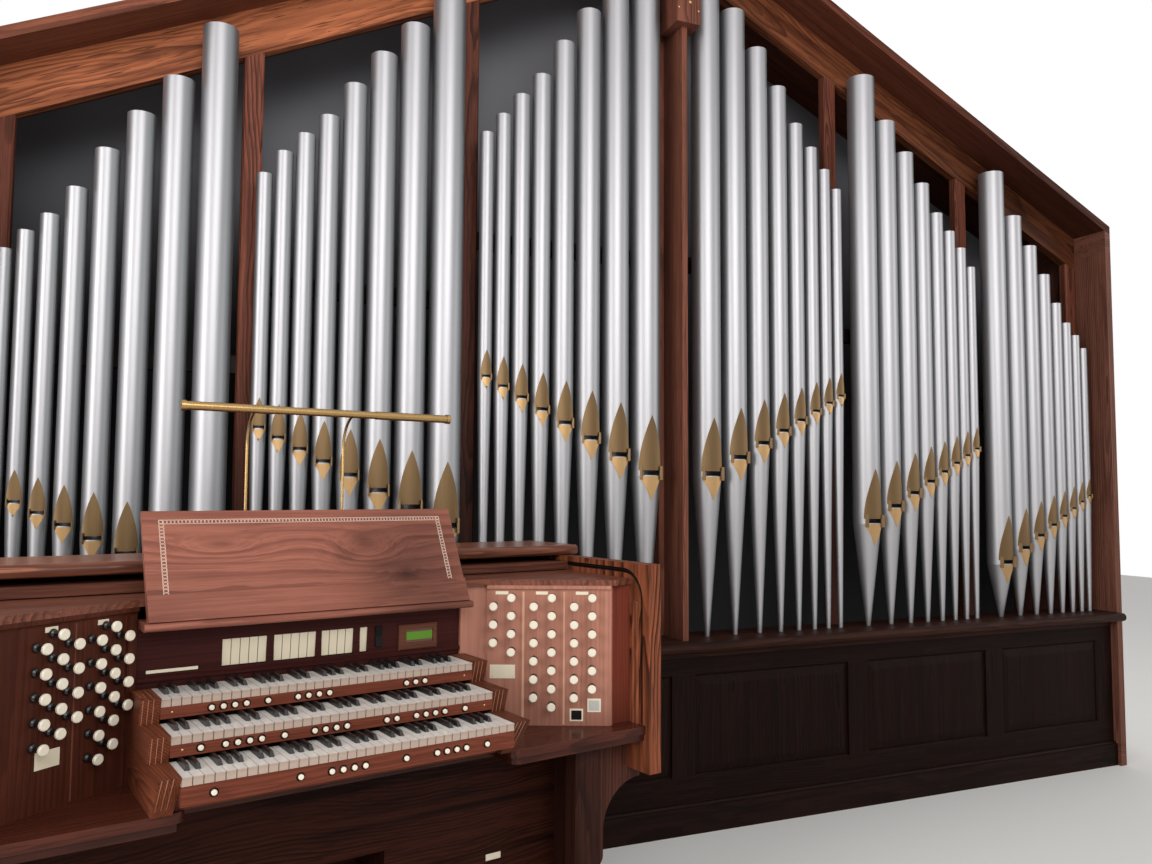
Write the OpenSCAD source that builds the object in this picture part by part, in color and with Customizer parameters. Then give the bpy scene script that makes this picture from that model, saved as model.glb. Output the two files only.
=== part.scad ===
// Pipe organ: gabled oak case with six bays of display pipes, and the detached
// three-manual drawknob console that stands in front of it. Millimetres, +Z up.
// Origin: on the floor, on the case's centre line, under the row of pipes.

/* [Case] */
// Width of an inner bay, from the centre line to the first mullion's middle
inner_bay = 977; // [900:1:1100]
// Width of a middle bay, between the middles of its mullions
middle_bay = 900; // [840:1:1050]
// Width of an outer bay, from its mullion's middle to the side board
outer_bay = 893; // [860:1:1050]
// Thickness of the side and roof boards
board_t = 42; // [25:1:60]
// How far the side and roof boards stand in front of the pipes' centre line
case_front = 108; // [95:1:200]
// How far the case reaches behind the pipes' centre line
case_depth = 620; // [400:1:1200]
// Clear height between the roof and the pipe that comes nearest to it
head_room = 70; // [10:1:200]
// Slope of the roof boards in degrees
roof_pitch = 25; // [20:0.5:27]
// Thickness of the back panel
back_t = 22; // [16:1:30]
// Height of the top of the toe board
toe_top = 849; // [700:1:950]
// Thickness of the toe board
toe_t = 44; // [30:1:60]
// How far the toe board stands in front of the pipes' centre line
toe_front = 165; // [150:1:240]
// Radius of the cove under the toe board
cove_r = 34; // [15:1:45]
// Height of the plinth
plinth_h = 130; // [80:1:200]
// How far the plinth stands in front of the pipes' centre line
plinth_front = 88; // [75:1:95]
// How far the wainscot is set behind the plinth's face
wainscot_set = 22; // [12:1:40]
// Thickness of the wainscot's framing
wainscot_t = 38; // [30:1:60]
// Width of the rails and stiles round a panel
rail_w = 120; // [80:1:160]
// Width of a panel's bevel
bevel_w = 42; // [20:1:60]
// Depth of a panel behind its frame
panel_set = 14; // [8:1:18]
// Width of the splay round a panel's opening
splay = 9; // [4:1:14]

/* [Face frame] */
// How far the face frame stands behind the pipes' centre line
frame_set = 92; // [80:1:130]
// Thickness of the face frame
frame_t = 45; // [30:1:70]
// Width of a mullion
mullion_w = 76; // [60:1:120]
// Width of the chamfer on a mullion's edges
chamfer = 7; // [3:1:12]
// Height of the raking rail, measured plumb
rail_h = 193; // [120:1:260]
// Width of the centre post
post_w = 84; // [60:1:110]
// Thickness of the fin that divides the inner bays
fin_t = 28; // [20:1:40]
// How far the fin stands in front of the pipes' centre line
fin_front = 85; // [60:1:95]
// Width of the block at the head of the fin
block_w = 124; // [90:1:140]
// How far the head block stands in front of the pipes' centre line
block_front = 126; // [112:1:160]
// Depth of the head block
block_d = 154; // [100:1:180]
// Height of the head block below the ridge
block_h = 644; // [400:1:800]

/* [Pipes] */
// Speaking lengths of the pipes in an inner bay, from the centre outward
inner_speak = [2450, 2190, 1955, 1720, 1495, 1340, 1195, 1065];
// Speaking lengths in a middle bay
middle_speak = [2310, 2020, 1805, 1595, 1395, 1260, 1135, 1000];
// Speaking lengths in an outer bay
outer_speak = [2160, 1855, 1635, 1425, 1220, 1070, 965, 860];
// Distance from the start of a bay to the middle of its first pipe
first_in = [162, 124, 129];
// Distance from the middle of the last pipe to the end of its bay
last_in = [49, 45, 78];
// Length of the foot of the first pipe of an inner bay
foot_first = 736; // [660:1:900]
// How much lower the mouths of each further bay start
bay_drop = 226; // [180:1:240]
// Rise of the line of mouths over its run
mouth_rise = 0.53; // [0.4:0.01:0.6]
// Speaking length over diameter, from the inner bays to the outer ones
slenderness = [17.8, 16.7, 16.5];
// Wall of a pipe
pipe_wall = 2.5; // [1.5:0.1:4]
// Thickness of the languid, the plate inside a pipe at its mouth
languid_t = 4; // [2.5:0.1:6]
// Radius of a pipe's toe
toe_r = 11; // [8:0.5:14]
// Width of the mouth over diameter
mouth_ratio = 0.7; // [0.6:0.01:0.75]
// Height of the mouth slot over diameter
cut_up = 0.16; // [0.1:0.01:0.22]
// Height of the upper lip over diameter
upper_lip = 1.8; // [1.4:0.05:2.1]
// Height of the lower lip over diameter
lower_lip = 0.78; // [0.6:0.01:0.9]
// Width of both lips over diameter
lip_ratio = 0.8; // [0.72:0.01:0.85]
// Thickness of the gilt lips
lip_t = 2.4; // [1.5:0.1:4]
// Thickness of an ear, the plate at each side of the mouth
ear_t = 3; // [2:0.1:4]
// Height of the battens behind the pipes
stay_h = 70; // [40:1:110]
// Height of a batten along the last pipe's speaking length
stay_share = 0.55; // [0.4:0.01:0.6]

/* [Console place] */
// Middle of the front of the lowest keys, along the case
console_x = -1655; // [-1750:1:-1100]
// Passage between the console's lid and the toe board
passage = 182; // [100:1:900]
// Turn of the console against the case in degrees
console_turn = 12; // [0:0.5:14]

/* [Manuals] */
// Height of the lowest naturals above the key desk
key_up = 100; // [88:1:120]
// Pitch of the naturals
key_w = 23.5; // [23:0.1:24]
// Number of naturals on a manual
naturals = 36; // [36:7:36]
// Gap between keys
key_gap = 1; // [0.6:0.1:1.4]
// Rise from one manual to the next
manual_rise = 62; // [56:1:70]
// Set-back from one manual to the next
manual_set = 120; // [106:1:130]
// Height of a natural's front
key_t = 20; // [14:1:22]
// Thickness of a natural's plate
plate_t = 3.5; // [2:0.1:5]
// How far the plate overhangs the front
plate_over = 2; // [1:0.1:3]
// Length of a natural in front of the sharps
head_l = 50; // [40:1:56]
// Length of a natural
key_l = 139; // [132:1:144]
// Height of a sharp above the naturals
sharp_h = 12; // [9:1:14]
// Width of a sharp
sharp_w = 11; // [9:0.5:12]
// Width of a key cheek
cheek_w = 46; // [36:1:50]
// Height of a cheek above the naturals
cheek_up = 3; // [1:0.5:6]
// How far the foot of the lowest cheek slopes back
cheek_slope = 82; // [40:1:90]
// How far the foot of an upper cheek slopes back
step_slope = 20; // [8:1:30]
// Height of the slip under an upper manual
slip_h = 28; // [22:1:30]
// Height of the slip under the lowest manual
front_slip_h = 44; // [30:1:52]
// Thickness of a slip
slip_t = 20; // [14:1:28]
// Thickness of the bed under the keys
bed_t = 12; // [8:1:14]
// Front of the block that carries the lowest manual
block_y = 100; // [60:1:120]
// Diameter of a thumb piston
piston_d = 13; // [10:0.5:16]
// How far a thumb piston stands out
piston_out = 7; // [4:0.5:10]
// Pitch of the thumb pistons
piston_pitch = 28; // [24:0.5:30]

/* [Tablets, music desk and lamp] */
// Half the width of the recess between the stop jambs
recess_half = 455; // [448:1:500]
// Face of the tablet board behind the front of the lowest keys
tablet_y = 390; // [387:1:410]
// Thickness of the console's inner panels
panel_t = 22; // [15:1:26]
// Height of the tablets' feet above the upper naturals
tablet_up = 36; // [28:1:50]
// Height of a tilting tablet
tablet_h = 70; // [50:1:80]
// Pitch of the tablets
tablet_pitch = 23.5; // [20:0.5:24]
// Thickness of a tablet
tablet_t = 5; // [3:0.5:7]
// Tilt of a tablet in degrees
tablet_tilt = 6; // [3:0.5:8]
// Left edge of the rocker switch from the middle of the keys
rocker_x = 181; // [175:1:195]
// Width, height and depth of the rocker switch
rocker = [20, 56, 8];
// Left edge of the screen's frame from the middle of the keys
screen_x = 253; // [225:1:300]
// Width, height and depth of the screen's frame
screen = [125, 75, 9];
// Width, height and depth of the screen's opening
window = [88, 40, 4];
// Height of the shelf's underside above the tablets
shelf_up = 46; // [30:1:60]
// Thickness of the shelf
shelf_t = 20; // [14:1:28]
// Front edge of the shelf behind the front of the lowest keys
rest_front = 296; // [285:1:305]
// Half the width of the music desk
rest_half = 445; // [400:1:446]
// Height of the music desk above its shelf
rest_rise = 275; // [230:1:320]
// Lean of the music desk in degrees
rest_lean = 28; // [20:1:32]
// Thickness of the music desk
rest_t = 18; // [12:1:22]
// Height of the ledge board along the foot of the music desk
lip_h = 72; // [50:1:100]
// How far the ledge board stands proud of the music desk
lip_proud = 7; // [4:1:14]
// Length of the lamp's tube
lamp_l = 784; // [600:1:900]
// Middle of the lamp's tube from the middle of the keys
lamp_x = 24; // [-40:1:60]
// Diameter of the lamp's tube
lamp_d = 24; // [16:1:34]
// Height of the lamp's tube above the shelf
lamp_up = 552; // [500:1:640]
// Middle of the lamp's stems from the middle of the keys
stem_x = -29; // [-60:1:20]
// Distance between the lamp's stems
stem_gap = 282; // [200:1:400]
// Diameter of a stem
stem_rod = 8; // [5:1:12]
// Radius of a stem's bend
stem_bend = 95; // [60:1:100]
// Clear gap behind the music desk and round the lamp's stems
desk_gap = 14; // [6:1:24]

/* [Console shell] */
// Width over the end panels
shell_w = 2000; // [1960:1:2100]
// Thickness of an end panel
end_t = 50; // [36:1:60]
// Radius of an end panel's front edges
end_r = 5; // [2:1:10]
// Front edge of the end panels behind the front of the lowest keys
end_front = 68; // [50:1:75]
// Back of the console behind the front of the lowest keys
shell_back = 850; // [780:1:900]
// Height of the underside of the end panels
shell_foot = 645; // [600:1:690]
// Height of the deck above the shelf
deck_up = 54; // [50:1:80]
// Thickness of the deck
deck_t = 18; // [12:1:24]
// How far the deck overhangs the stop jambs
deck_over = 14; // [8:1:20]
// Thickness of the lid
lid_t = 36; // [25:1:45]
// Front edge of the lid behind the front of the lowest keys
lid_front = 555; // [550:1:620]
// Overhang of the lid at its ends and back
lid_over = 20; // [5:1:40]
// Diameter of the beads beside the groove
bead_d = 15; // [8:1:18]

/* [Roll top] */
// Height of the groove's level run above the deck
groove_up = 23; // [20:1:30]
// Height of the end panels above the groove's level run
top_up = 25; // [18:1:40]
// Width of the groove
groove_w = 15; // [12:1:18]
// Depth of the groove
groove_d = 10; // [6:1:16]
// Middle of the groove's upright run behind the end panels' front
groove_in = 40; // [30:1:46]
// Radius of the groove's bend
groove_r = 92; // [60:1:110]
// Width of a slat
slat_w = 24; // [18:1:26]
// Number of slats
slat_n = 9; // [5:1:10]
// Depth of the leading rail
lead_w = 34; // [20:1:40]
// Height of the leading rail
lead_h = 27; // [20:1:30]

/* [Key desk and base] */
// Height of the top of the key desk
desk_h = 790; // [770:1:800]
// Thickness of the key desk
desk_t = 45; // [30:1:55]
// Front edge of the key desk's wings behind the front of the lowest keys
wing_front = 86; // [80:1:100]
// Inner ends of the key desk's left and right wings from the middle
wing_in = [390, 470];
// Radius of the wings' inner corners
wing_r = 30; // [10:1:40]
// Front edge of the key desk between its wings
bay_front = 200; // [150:1:240]
// Distance of the pedestal's outer face from the end panels' outer faces
leg_in = 175; // [140:1:210]
// Width of the pedestal's front posts
leg_w = 90; // [60:1:110]
// Front of the posts behind the front of the lowest keys
leg_front = 150; // [130:1:170]
// Depth of a post
leg_d = 60; // [40:1:80]
// Thickness of the pedestal's sides
side_t = 38; // [25:1:45]
// Height of a bracket under an end panel
bracket_h = 285; // [200:1:340]
// Thickness of a bracket
bracket_t = 32; // [20:1:44]
// Front of the kneeboard behind the front of the lowest keys
knee_y = 350; // [320:1:380]
// Height of the kneeboard's foot
knee_foot = 60; // [30:1:90]
// Half the width of the opening for the shoes
shoe_half = 205; // [195:1:240]
// Height of the top of the opening for the shoes
shoe_top = 490; // [430:1:520]
// Depth of the box behind the opening
shoe_depth = 200; // [170:1:260]

/* [Stop jambs] */
// Turn of the left and right jambs towards the player in degrees
jamb_turn = [30, 35];
// Outer corner of a jamb from the end panel
jamb_in = 80; // [60:1:100]
// Outer corner of a jamb behind the front of the lowest keys
jamb_y = 150; // [145:1:160]
// Width of the stile between the right jamb and the recess
stile_w = 87; // [60:1:110]
// How far a knob board stands proud of its jamb
knob_board_t = 6; // [3:1:8]
// Distance from a knob board's ends to the jamb's ends
board_in = 6; // [3:1:12]
// Height of the cap over a jamb
cap_h = 18; // [12:1:24]
// Columns of the left jamb: [place in column pitches, knobs, 1 where raised]
left_columns = [[0, 5, 0], [1, 5, 1], [2, 4, 0], [3.45, 6, 0], [4.4, 6, 1], [5.35, 4, 0]];
// Columns of the right jamb
right_columns = [[0, 6, 1], [1, 6, 0], [2.25, 7, 1], [3.25, 6, 0], [4.5, 4, 1], [5.5, 3, 0]];
// Distance of the outer column from the jamb's outer end, left and right
column_out = [206, 66];
// Distance of the inner column from the jamb's inner end, left and right
column_in = [59, 29];
// Depth of the highest knobs below the deck
knob_down = 35; // [28:1:45]
// How much lower the other columns start
knob_step = 27; // [20:1:30]
// Vertical pitch of the knobs
knob_pitch = 55.4; // [48:0.1:57]
// Diameter of a knob's face
knob_d = 26; // [22:1:27]
// Thickness of a knob's head
knob_t = 10; // [7:1:14]
// How far a knob stands out
knob_out = 46; // [30:1:56]
// Diameter of a knob's stem
stem_d = 10; // [8:1:12]

/* [Pedals] */
// Number of natural pedals
pedals = 19; // [19:7:19]
// Pitch of the natural pedals at the kneeboard
pedal_pitch = 66.5; // [66:0.5:70]
// Distance of the point from which the pedals spread in front of the kneeboard
spread_r = 2700; // [2600:10:3600]
// Length of the pedals
pedal_l = 640; // [600:1:700]
// Height of the pedals
pedal_h = 110; // [95:1:130]
// Width of a pedal
pedal_w = 23; // [20:1:24]
// Height of a pedal's bar
pedal_t = 24; // [18:1:28]
// Length of the raised part of a sharp pedal
toe_l = 150; // [110:1:170]
// Height of a sharp pedal above the naturals
toe_h = 36; // [28:1:45]
// Width of the pedal board's cheeks
pedal_cheek = 40; // [28:1:50]

/* [Hidden] */
$fn = 48;
oak = "sienna";
eps = 0.01;
fit = 0.3;

// Case
side_in = inner_bay + middle_bay + outer_bay;
case_half = side_in + board_t;
bay_edge = [0, inner_bay, inner_bay + middle_bay, side_in];
mullion_x = [bay_edge[1], bay_edge[2], side_in - mullion_w / 2];
frame_back = frame_set + frame_t;
wainscot_y = -plinth_front + wainscot_set;
wainscot_top = toe_top - toe_t;
function roof_z(x) = apex_h - abs(x) * tan(roof_pitch);
function rail_z(x) = roof_z(x) - rail_h;

// Pipes: bay 0 is the inner one
speak = [inner_speak, middle_speak, outer_speak];
last = len(inner_speak) - 1;
function dia(bay, i) = speak[bay][i] / slenderness[bay];
function run(bay, i) = i == 0 ? 0 : run(bay, i - 1) + (dia(bay, i) + dia(bay, i - 1)) / 2;
function first_x(bay) = bay_edge[bay] + first_in[bay];
function last_x(bay) = bay_edge[bay + 1] - last_in[bay];
function pipe_x(bay, i) = first_x(bay) + (last_x(bay) - first_x(bay)) * run(bay, i) / run(bay, last);
function foot_l(bay, i) = foot_first - bay * bay_drop + (pipe_x(bay, i) - first_x(bay)) * mouth_rise;
function pipe_top(bay, i) = toe_top + foot_l(bay, i) + speak[bay][i];
function stay_z(bay) = toe_top + foot_l(bay, last) + speak[bay][last] * stay_share;
apex_h = head_room + max([for (bay = [0:2], i = [0:last])
  pipe_top(bay, i) + (pipe_x(bay, i) + dia(bay, i) / 2) * tan(roof_pitch)]);

// Heights in the console, one above the other
function manual_y(m) = m * manual_set;
function manual_z(m) = desk_h + key_up + m * manual_rise;
desk_under = desk_h - desk_t;
tablet_z = manual_z(2) + tablet_up;
shelf_z = tablet_z + tablet_h + shelf_up;
rest_h = shelf_z + shelf_t;
deck_h = rest_h + deck_up;
deck_under = deck_h - deck_t;
groove_h = deck_h + groove_up;
shell_top = groove_h + top_up;
lamp_h = rest_h + lamp_up;

// Places in the console; a side is -1 on the left and 1 on the right
shell_in = shell_w / 2 - end_t;
console_y = -toe_front - passage - (shell_w / 2 + lid_over) * sin(console_turn)
  - (shell_back + lid_over) * cos(console_turn);
keys_half = naturals * key_w / 2;
jamb_x = shell_in - jamb_in;
leg_x = shell_w / 2 - leg_in;
function side(s) = s > 0 ? 1 : 0;
function turn(s) = jamb_turn[side(s)];
function in_x(s) = recess_half + stile_w * side(s);
function in_y(s) = jamb_y + (jamb_x - in_x(s)) * tan(turn(s));
function jamb_w(s) = (jamb_x - in_x(s)) / cos(turn(s));
function deck_line(s) = deck_over / cos(turn(s));
return_y = jamb_y + panel_t * 0.75;
shelf_set = shelf_t * 0.65;
function desk_back(z) = rest_front + shelf_set + (z - rest_h) * tan(rest_lean) + rest_t / cos(rest_lean);
stem_y = desk_back(rest_h + rest_rise) + desk_gap + stem_rod / 2;
groove_y = end_front + groove_in;

// Shared forms
// Slab with bevelled front edges: its front is at y = 0, and it lies behind
module bevelled(w, h, t, across, deep) {
  intersection() {
    linear_extrude(h) polygon([[0, t], [0, deep], [across, 0], [w - across, 0], [w, deep], [w, t]]);
    rotate([90, 0, 90]) linear_extrude(w)
      polygon([[t, 0], [deep, 0], [0, across], [0, h - across], [deep, h], [t, h]]);
  }
}

// Cut for a panel: it widens by the splay towards the front face
module splayed(w, h, t) {
  c = splay;
  intersection() {
    translate([0, 0, -c]) linear_extrude(h + 2 * c)
      polygon([[-c - eps, -eps], [w + c + eps, -eps], [w, c], [w, t], [0, t], [0, c]]);
    translate([-c, 0, 0]) rotate([90, 0, 90]) linear_extrude(w + 2 * c)
      polygon([[-eps, -c - eps], [-eps, h + c + eps], [c, h], [t, h], [t, 0], [c, 0]]);
  }
}

// Board of width w and height h with one raised panel in a splayed frame
module panelled(w, h, t) {
  inner_w = w - 2 * rail_w;
  inner_h = h - 2 * rail_w;
  difference() {
    cube([w, t, h]);
    translate([rail_w, 0, rail_w]) splayed(inner_w, inner_h, panel_set);
  }
  translate([rail_w, panel_set - bevel_t, rail_w])
    bevelled(inner_w, inner_h, bevel_t + eps, bevel_w, bevel_t);
}
bevel_t = panel_set * 0.7;

// Case boards
module case_plinth() {
  cavetto = wainscot_set * 0.6;
  color(oak) translate([-side_in, 0, 0]) rotate([90, 0, 90]) linear_extrude(2 * side_in)
    difference() {
      translate([-plinth_front, 0]) square([plinth_front + case_depth, plinth_h]);
      translate([-plinth_front, plinth_h]) circle(cavetto);
    }
}

module wainscot() {
  color(oak) for (s = [-1, 1], i = [0:2]) {
    a = bay_edge[i] - rail_w / 2;
    b = bay_edge[i + 1] + (i < 2 ? rail_w / 2 : 0);
    translate([s > 0 ? a : -b, wainscot_y, plinth_h])
      panelled(b - a, wainscot_top - plinth_h, wainscot_t);
  }
}

module toe_board() {
  r = toe_t / 2;
  cove_z = wainscot_top - cove_r;
  color(oak) translate([-side_in, 0, 0]) rotate([90, 0, 90]) linear_extrude(2 * side_in) {
    translate([-toe_front + r, wainscot_top]) square([toe_front - r + frame_back, toe_t]);
    translate([-toe_front + r, wainscot_top + r]) circle(r);
    difference() {
      translate([wainscot_y - cove_r, cove_z]) square([cove_r, cove_r + eps]);
      translate([wainscot_y - cove_r, cove_z]) circle(cove_r * 0.9);
    }
  }
}

// Cross-section of a post with chamfered front edges
module post_plan(w, d, c) {
  polygon([[-w / 2, c], [-w / 2 + c, 0], [w / 2 - c, 0], [w / 2, c], [w / 2, d], [-w / 2, d]]);
}

module mullions() {
  color(oak) for (s = [-1, 1], x = mullion_x)
    intersection() {
      translate([s * x, frame_set, toe_top]) linear_extrude(apex_h) post_plan(mullion_w, frame_t, chamfer);
      translate([0, frame_back, 0]) rotate([90, 0, 0]) linear_extrude(frame_t)
        polygon([[0, toe_top], [s * side_in, toe_top], [s * side_in, rail_z(side_in)], [0, rail_z(0)]]);
    }
}

// Upright that ends under the ridge, seen from the front
module gabled(w, z) {
  polygon([[-w / 2, z], [w / 2, z], [w / 2, roof_z(w / 2)], [0, apex_h], [-w / 2, roof_z(w / 2)]]);
}

module centre_post() {
  color(oak) rotate([90, 0, 0]) intersection() {
    union() {
      translate([-post_w / 2, toe_top, -frame_back]) cube([post_w, apex_h, frame_t]);
      translate([-fin_t / 2, toe_top, -frame_set - eps]) cube([fin_t, apex_h, frame_set + fin_front]);
      translate([-block_w / 2, apex_h - block_h, block_front - block_d]) cube([block_w, 2 * block_h, block_d]);
    }
    translate([0, 0, -frame_back - block_d]) linear_extrude(frame_back + 3 * block_d) gabled(2 * block_w, 0);
  }
}

module raking_rails() {
  color(oak) translate([0, frame_back, 0]) rotate([90, 0, 0]) linear_extrude(frame_t)
    for (s = [-1, 1]) {
      a = s * post_w / 2;
      b = s * side_in;
      polygon([[a, rail_z(a)], [b, rail_z(b)], [b, roof_z(b)], [a, roof_z(a)]]);
    }
}

module roof(s) {
  t = board_t / cos(roof_pitch);
  b = s * case_half;
  color(oak) translate([0, case_depth, 0]) rotate([90, 0, 0])
    linear_extrude(case_depth + case_front)
      polygon([[0, apex_h], [b, roof_z(b)], [b, roof_z(b) + t], [0, apex_h + t]]);
}

module left_roof() { roof(-1); }
module right_roof() { roof(1); }

// Side board with two raised panels on its outer face
module side_board() {
  depth = case_depth + case_front;
  eaves = roof_z(case_half);
  color(oak) {
    translate([case_half, -case_front, 0]) rotate([0, 0, 90]) {
      panelled(depth, toe_top, board_t);
      translate([0, 0, toe_top]) panelled(depth, eaves - toe_top, board_t);
    }
    translate([0, case_depth, 0]) rotate([90, 0, 0]) linear_extrude(depth)
      polygon([[side_in, eaves - eps], [case_half, eaves - eps], [case_half, eaves], [side_in, roof_z(side_in)]]);
  }
}

module left_side() { mirror([1, 0, 0]) side_board(); }
module right_side() { side_board(); }

// Gable-shaped back with a raised panel low and high in each bay, facing backwards
module case_back() {
  color("dimgray") difference() {
    translate([0, case_depth, 0]) rotate([90, 0, 0]) linear_extrude(back_t)
      polygon([[-side_in, plinth_h], [side_in, plinth_h], [side_in, roof_z(side_in)],
        [0, apex_h], [-side_in, roof_z(side_in)]]);
    for (s = [-1, 1], i = [0:2]) {
      a = bay_edge[i] + rail_w / 2;
      b = bay_edge[i + 1] - rail_w / 2;
      low = plinth_h + rail_w;
      high = toe_top + rail_w / 2;
      for (z = [[low, high - rail_w], [high, roof_z(b) - rail_w]])
        translate([s > 0 ? b : -a, case_depth, z[0]]) rotate([0, 0, 180])
          splayed(b - a, z[1] - z[0], panel_set);
    }
  }
}

// Battens across the backs of the mullions, which steady the pipes
module stay_rails() {
  color(oak) for (s = [-1, 1], bay = [0:2]) {
    a = bay == 0 ? post_w / 2 : bay_edge[bay] + mullion_w / 2;
    b = bay_edge[bay + 1] - mullion_w / (bay == 2 ? 1 : 2);
    translate([s > 0 ? a : -b, frame_set, stay_z(bay)]) cube([b - a, frame_t, stay_h]);
  }
}

// Pipes
// One pipe on its toe: conical foot, languid, and a body that is open at the top
module pipe(bay, i) {
  r = dia(bay, i) / 2;
  foot = foot_l(bay, i);
  top = foot + speak[bay][i];
  difference() {
    rotate_extrude() polygon([[toe_r / 2, 0], [toe_r, 0], [r, foot], [r, top],
      [r - pipe_wall, top], [r - pipe_wall, foot + languid_t], [0, foot + languid_t],
      [0, foot], [r - pipe_wall, foot]]);
    translate([-mouth_ratio * r, -2 * r, foot + languid_t])
      cube([2 * mouth_ratio * r, 1.6 * r, cut_up * 2 * r]);
  }
}

module bay_pipes(bay, s) {
  color("silver") for (i = [0:last]) translate([s * pipe_x(bay, i), 0, toe_top]) pipe(bay, i);
}

module outer_left_pipes() { bay_pipes(2, -1); }
module middle_left_pipes() { bay_pipes(1, -1); }
module inner_left_pipes() { bay_pipes(0, -1); }
module inner_right_pipes() { bay_pipes(0, 1); }
module middle_right_pipes() { bay_pipes(1, 1); }
module outer_right_pipes() { bay_pipes(2, 1); }

// Pointed leaf: two arcs that meet at a tip, cut level at its foot
module leaf(w, h) {
  r = (w * w / 4 + h * h) / w;
  intersection() {
    translate([w / 2 - r, 0]) circle(r, $fn = 96);
    translate([r - w / 2, 0]) circle(r, $fn = 96);
    translate([-w, 0]) square([2 * w, h + 1]);
  }
}

// Gilt lips over the slot, and an ear at each side of it
module mouth(bay, i) {
  d = dia(bay, i);
  r = d / 2;
  foot = foot_l(bay, i);
  base = foot + languid_t + cut_up * d;
  high = upper_lip * d;
  low = lower_lip * d;
  w = d * lip_ratio;
  function cone_r(z) = toe_r + (r - toe_r) * z / foot;
  intersection() {
    translate([0, 0, base]) difference() {
      cylinder(r = r + lip_t, h = high);
      translate([0, 0, -1]) cylinder(r = r + fit, h = high + 2);
    }
    translate([0, 0, base]) rotate([90, 0, 0]) linear_extrude(2 * r) leaf(w, high);
  }
  intersection() {
    rotate_extrude() polygon([[cone_r(foot - low) + fit, foot - low],
      [cone_r(foot - low) + lip_t, foot - low], [r + lip_t, foot], [r + fit, foot]]);
    translate([0, 0, foot]) rotate([90, 0, 0]) linear_extrude(2 * r)
      polygon([[-w / 2, 0], [0, -low], [w / 2, 0]]);
  }
  for (s = [-1, 1]) translate([s * w * 0.46 - ear_t / 2, -r * 1.08, foot - d * 0.12])
    cube([ear_t, r * 0.36, d * 0.45]);
}

module pipe_mouths() {
  color("goldenrod") for (s = [-1, 1], bay = [0:2], i = [0:last])
    translate([s * pipe_x(bay, i), 0, toe_top]) mouth(bay, i);
}

// Console
module at_console() {
  translate([console_x, console_y, 0]) rotate([0, 0, console_turn]) children();
}

// A pair of forms, the second mirrored
module both_sides() {
  for (m = [0, 1]) mirror([m, 0, 0]) children();
}

// Extrudes an outline seen from the right, Y across and Z up, along X
module along_x(x0, x1) {
  translate([x0, 0, 0]) rotate([90, 0, 90]) linear_extrude(x1 - x0) children();
}

module groove_line(w) {
  x0 = groove_y - w / 2;
  z1 = groove_h + w / 2;
  r = groove_r + w / 2;
  translate([x0 + r, z1 - r]) circle(r);
  translate([x0, 0]) square([r, z1 - r]);
  translate([x0 + r, 0]) square([shell_back, z1]);
}

module groove_cut() {
  intersection() {
    difference() {
      groove_line(groove_w);
      groove_line(-groove_w);
    }
    translate([0, desk_h]) square([shell_back - panel_t, shell_top]);
  }
}

// End panels, each with its groove and two beads that run down to the key desk
module end_panels() {
  depth = shell_back - end_front;
  bead_y = groove_y + groove_w / 2 + bead_d * 0.8;
  color(oak) at_console() both_sides() {
    difference() {
      translate([shell_in, end_front, shell_foot]) linear_extrude(shell_top - shell_foot) {
        translate([end_r, end_r]) circle(end_r);
        translate([end_t - end_r, end_r]) circle(end_r);
        translate([end_r, 0]) square([end_t - 2 * end_r, depth]);
        translate([0, end_r]) square([end_t, depth - end_r]);
      }
      along_x(shell_in - 1, shell_in + groove_d) groove_cut();
    }
    for (i = [0, 1]) translate([shell_in, bead_y + i * (bead_d + 2), desk_h])
      cylinder(d = bead_d, h = groove_h - groove_r - desk_h);
  }
}

// Back of the console with three raised panels, facing backwards
module console_back() {
  w = 2 * shell_in / 3;
  color(oak) at_console() for (i = [0:2])
    translate([shell_in - i * w, shell_back, shell_foot]) rotate([0, 0, 180])
      panelled(w, shell_top - shell_foot, panel_t);
}

module console_lid() {
  r = lid_t / 2;
  half = shell_w / 2 + lid_over;
  color(oak) at_console() along_x(-half, half) {
    translate([lid_front + r, shell_top + r]) circle(r);
    translate([lid_front + r, shell_top]) square([shell_back + lid_over - lid_front - r, lid_t]);
  }
}

// The roll top run back: its leading rail, then the slats, with their ends in the grooves
module roll_top() {
  t = groove_w - 2 * fit;
  x = shell_in + groove_d - 1;
  low = groove_h - t / 2;
  color(oak) at_console() {
    along_x(-shell_in + fit, shell_in - fit)
      translate([lid_front - lead_w, low + t - lead_h]) square([lead_w - 1, lead_h]);
    along_x(-x, x) translate([lid_front - lead_w, low]) square([lead_w - 1, t]);
    for (i = [0:slat_n - 1]) along_x(-x, x) {
      translate([lid_front + i * slat_w, low]) square([slat_w - fit, t * 0.6]);
      translate([lid_front + (i + 0.5) * slat_w, low + t * 0.1]) intersection() {
        circle(slat_w * 0.42);
        translate([-slat_w / 2, 0]) square([slat_w, t * 0.9]);
      }
    }
  }
}

module console_deck() {
  y = desk_back(deck_h) + desk_gap;
  ends = return_y - deck_over / 2;
  back = shell_back - panel_t;
  color(oak) at_console() translate([0, 0, deck_under]) linear_extrude(deck_t)
    polygon([[-shell_in, ends], [-jamb_x, jamb_y - deck_line(-1)],
      [-in_x(-1), in_y(-1) - deck_line(-1)], [-recess_half, y], [recess_half, y],
      [recess_half, in_y(1) - deck_line(1)], [in_x(1), in_y(1) - deck_line(1)],
      [jamb_x, jamb_y - deck_line(1)], [shell_in, ends], [shell_in, back], [-shell_in, back]]);
}

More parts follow.
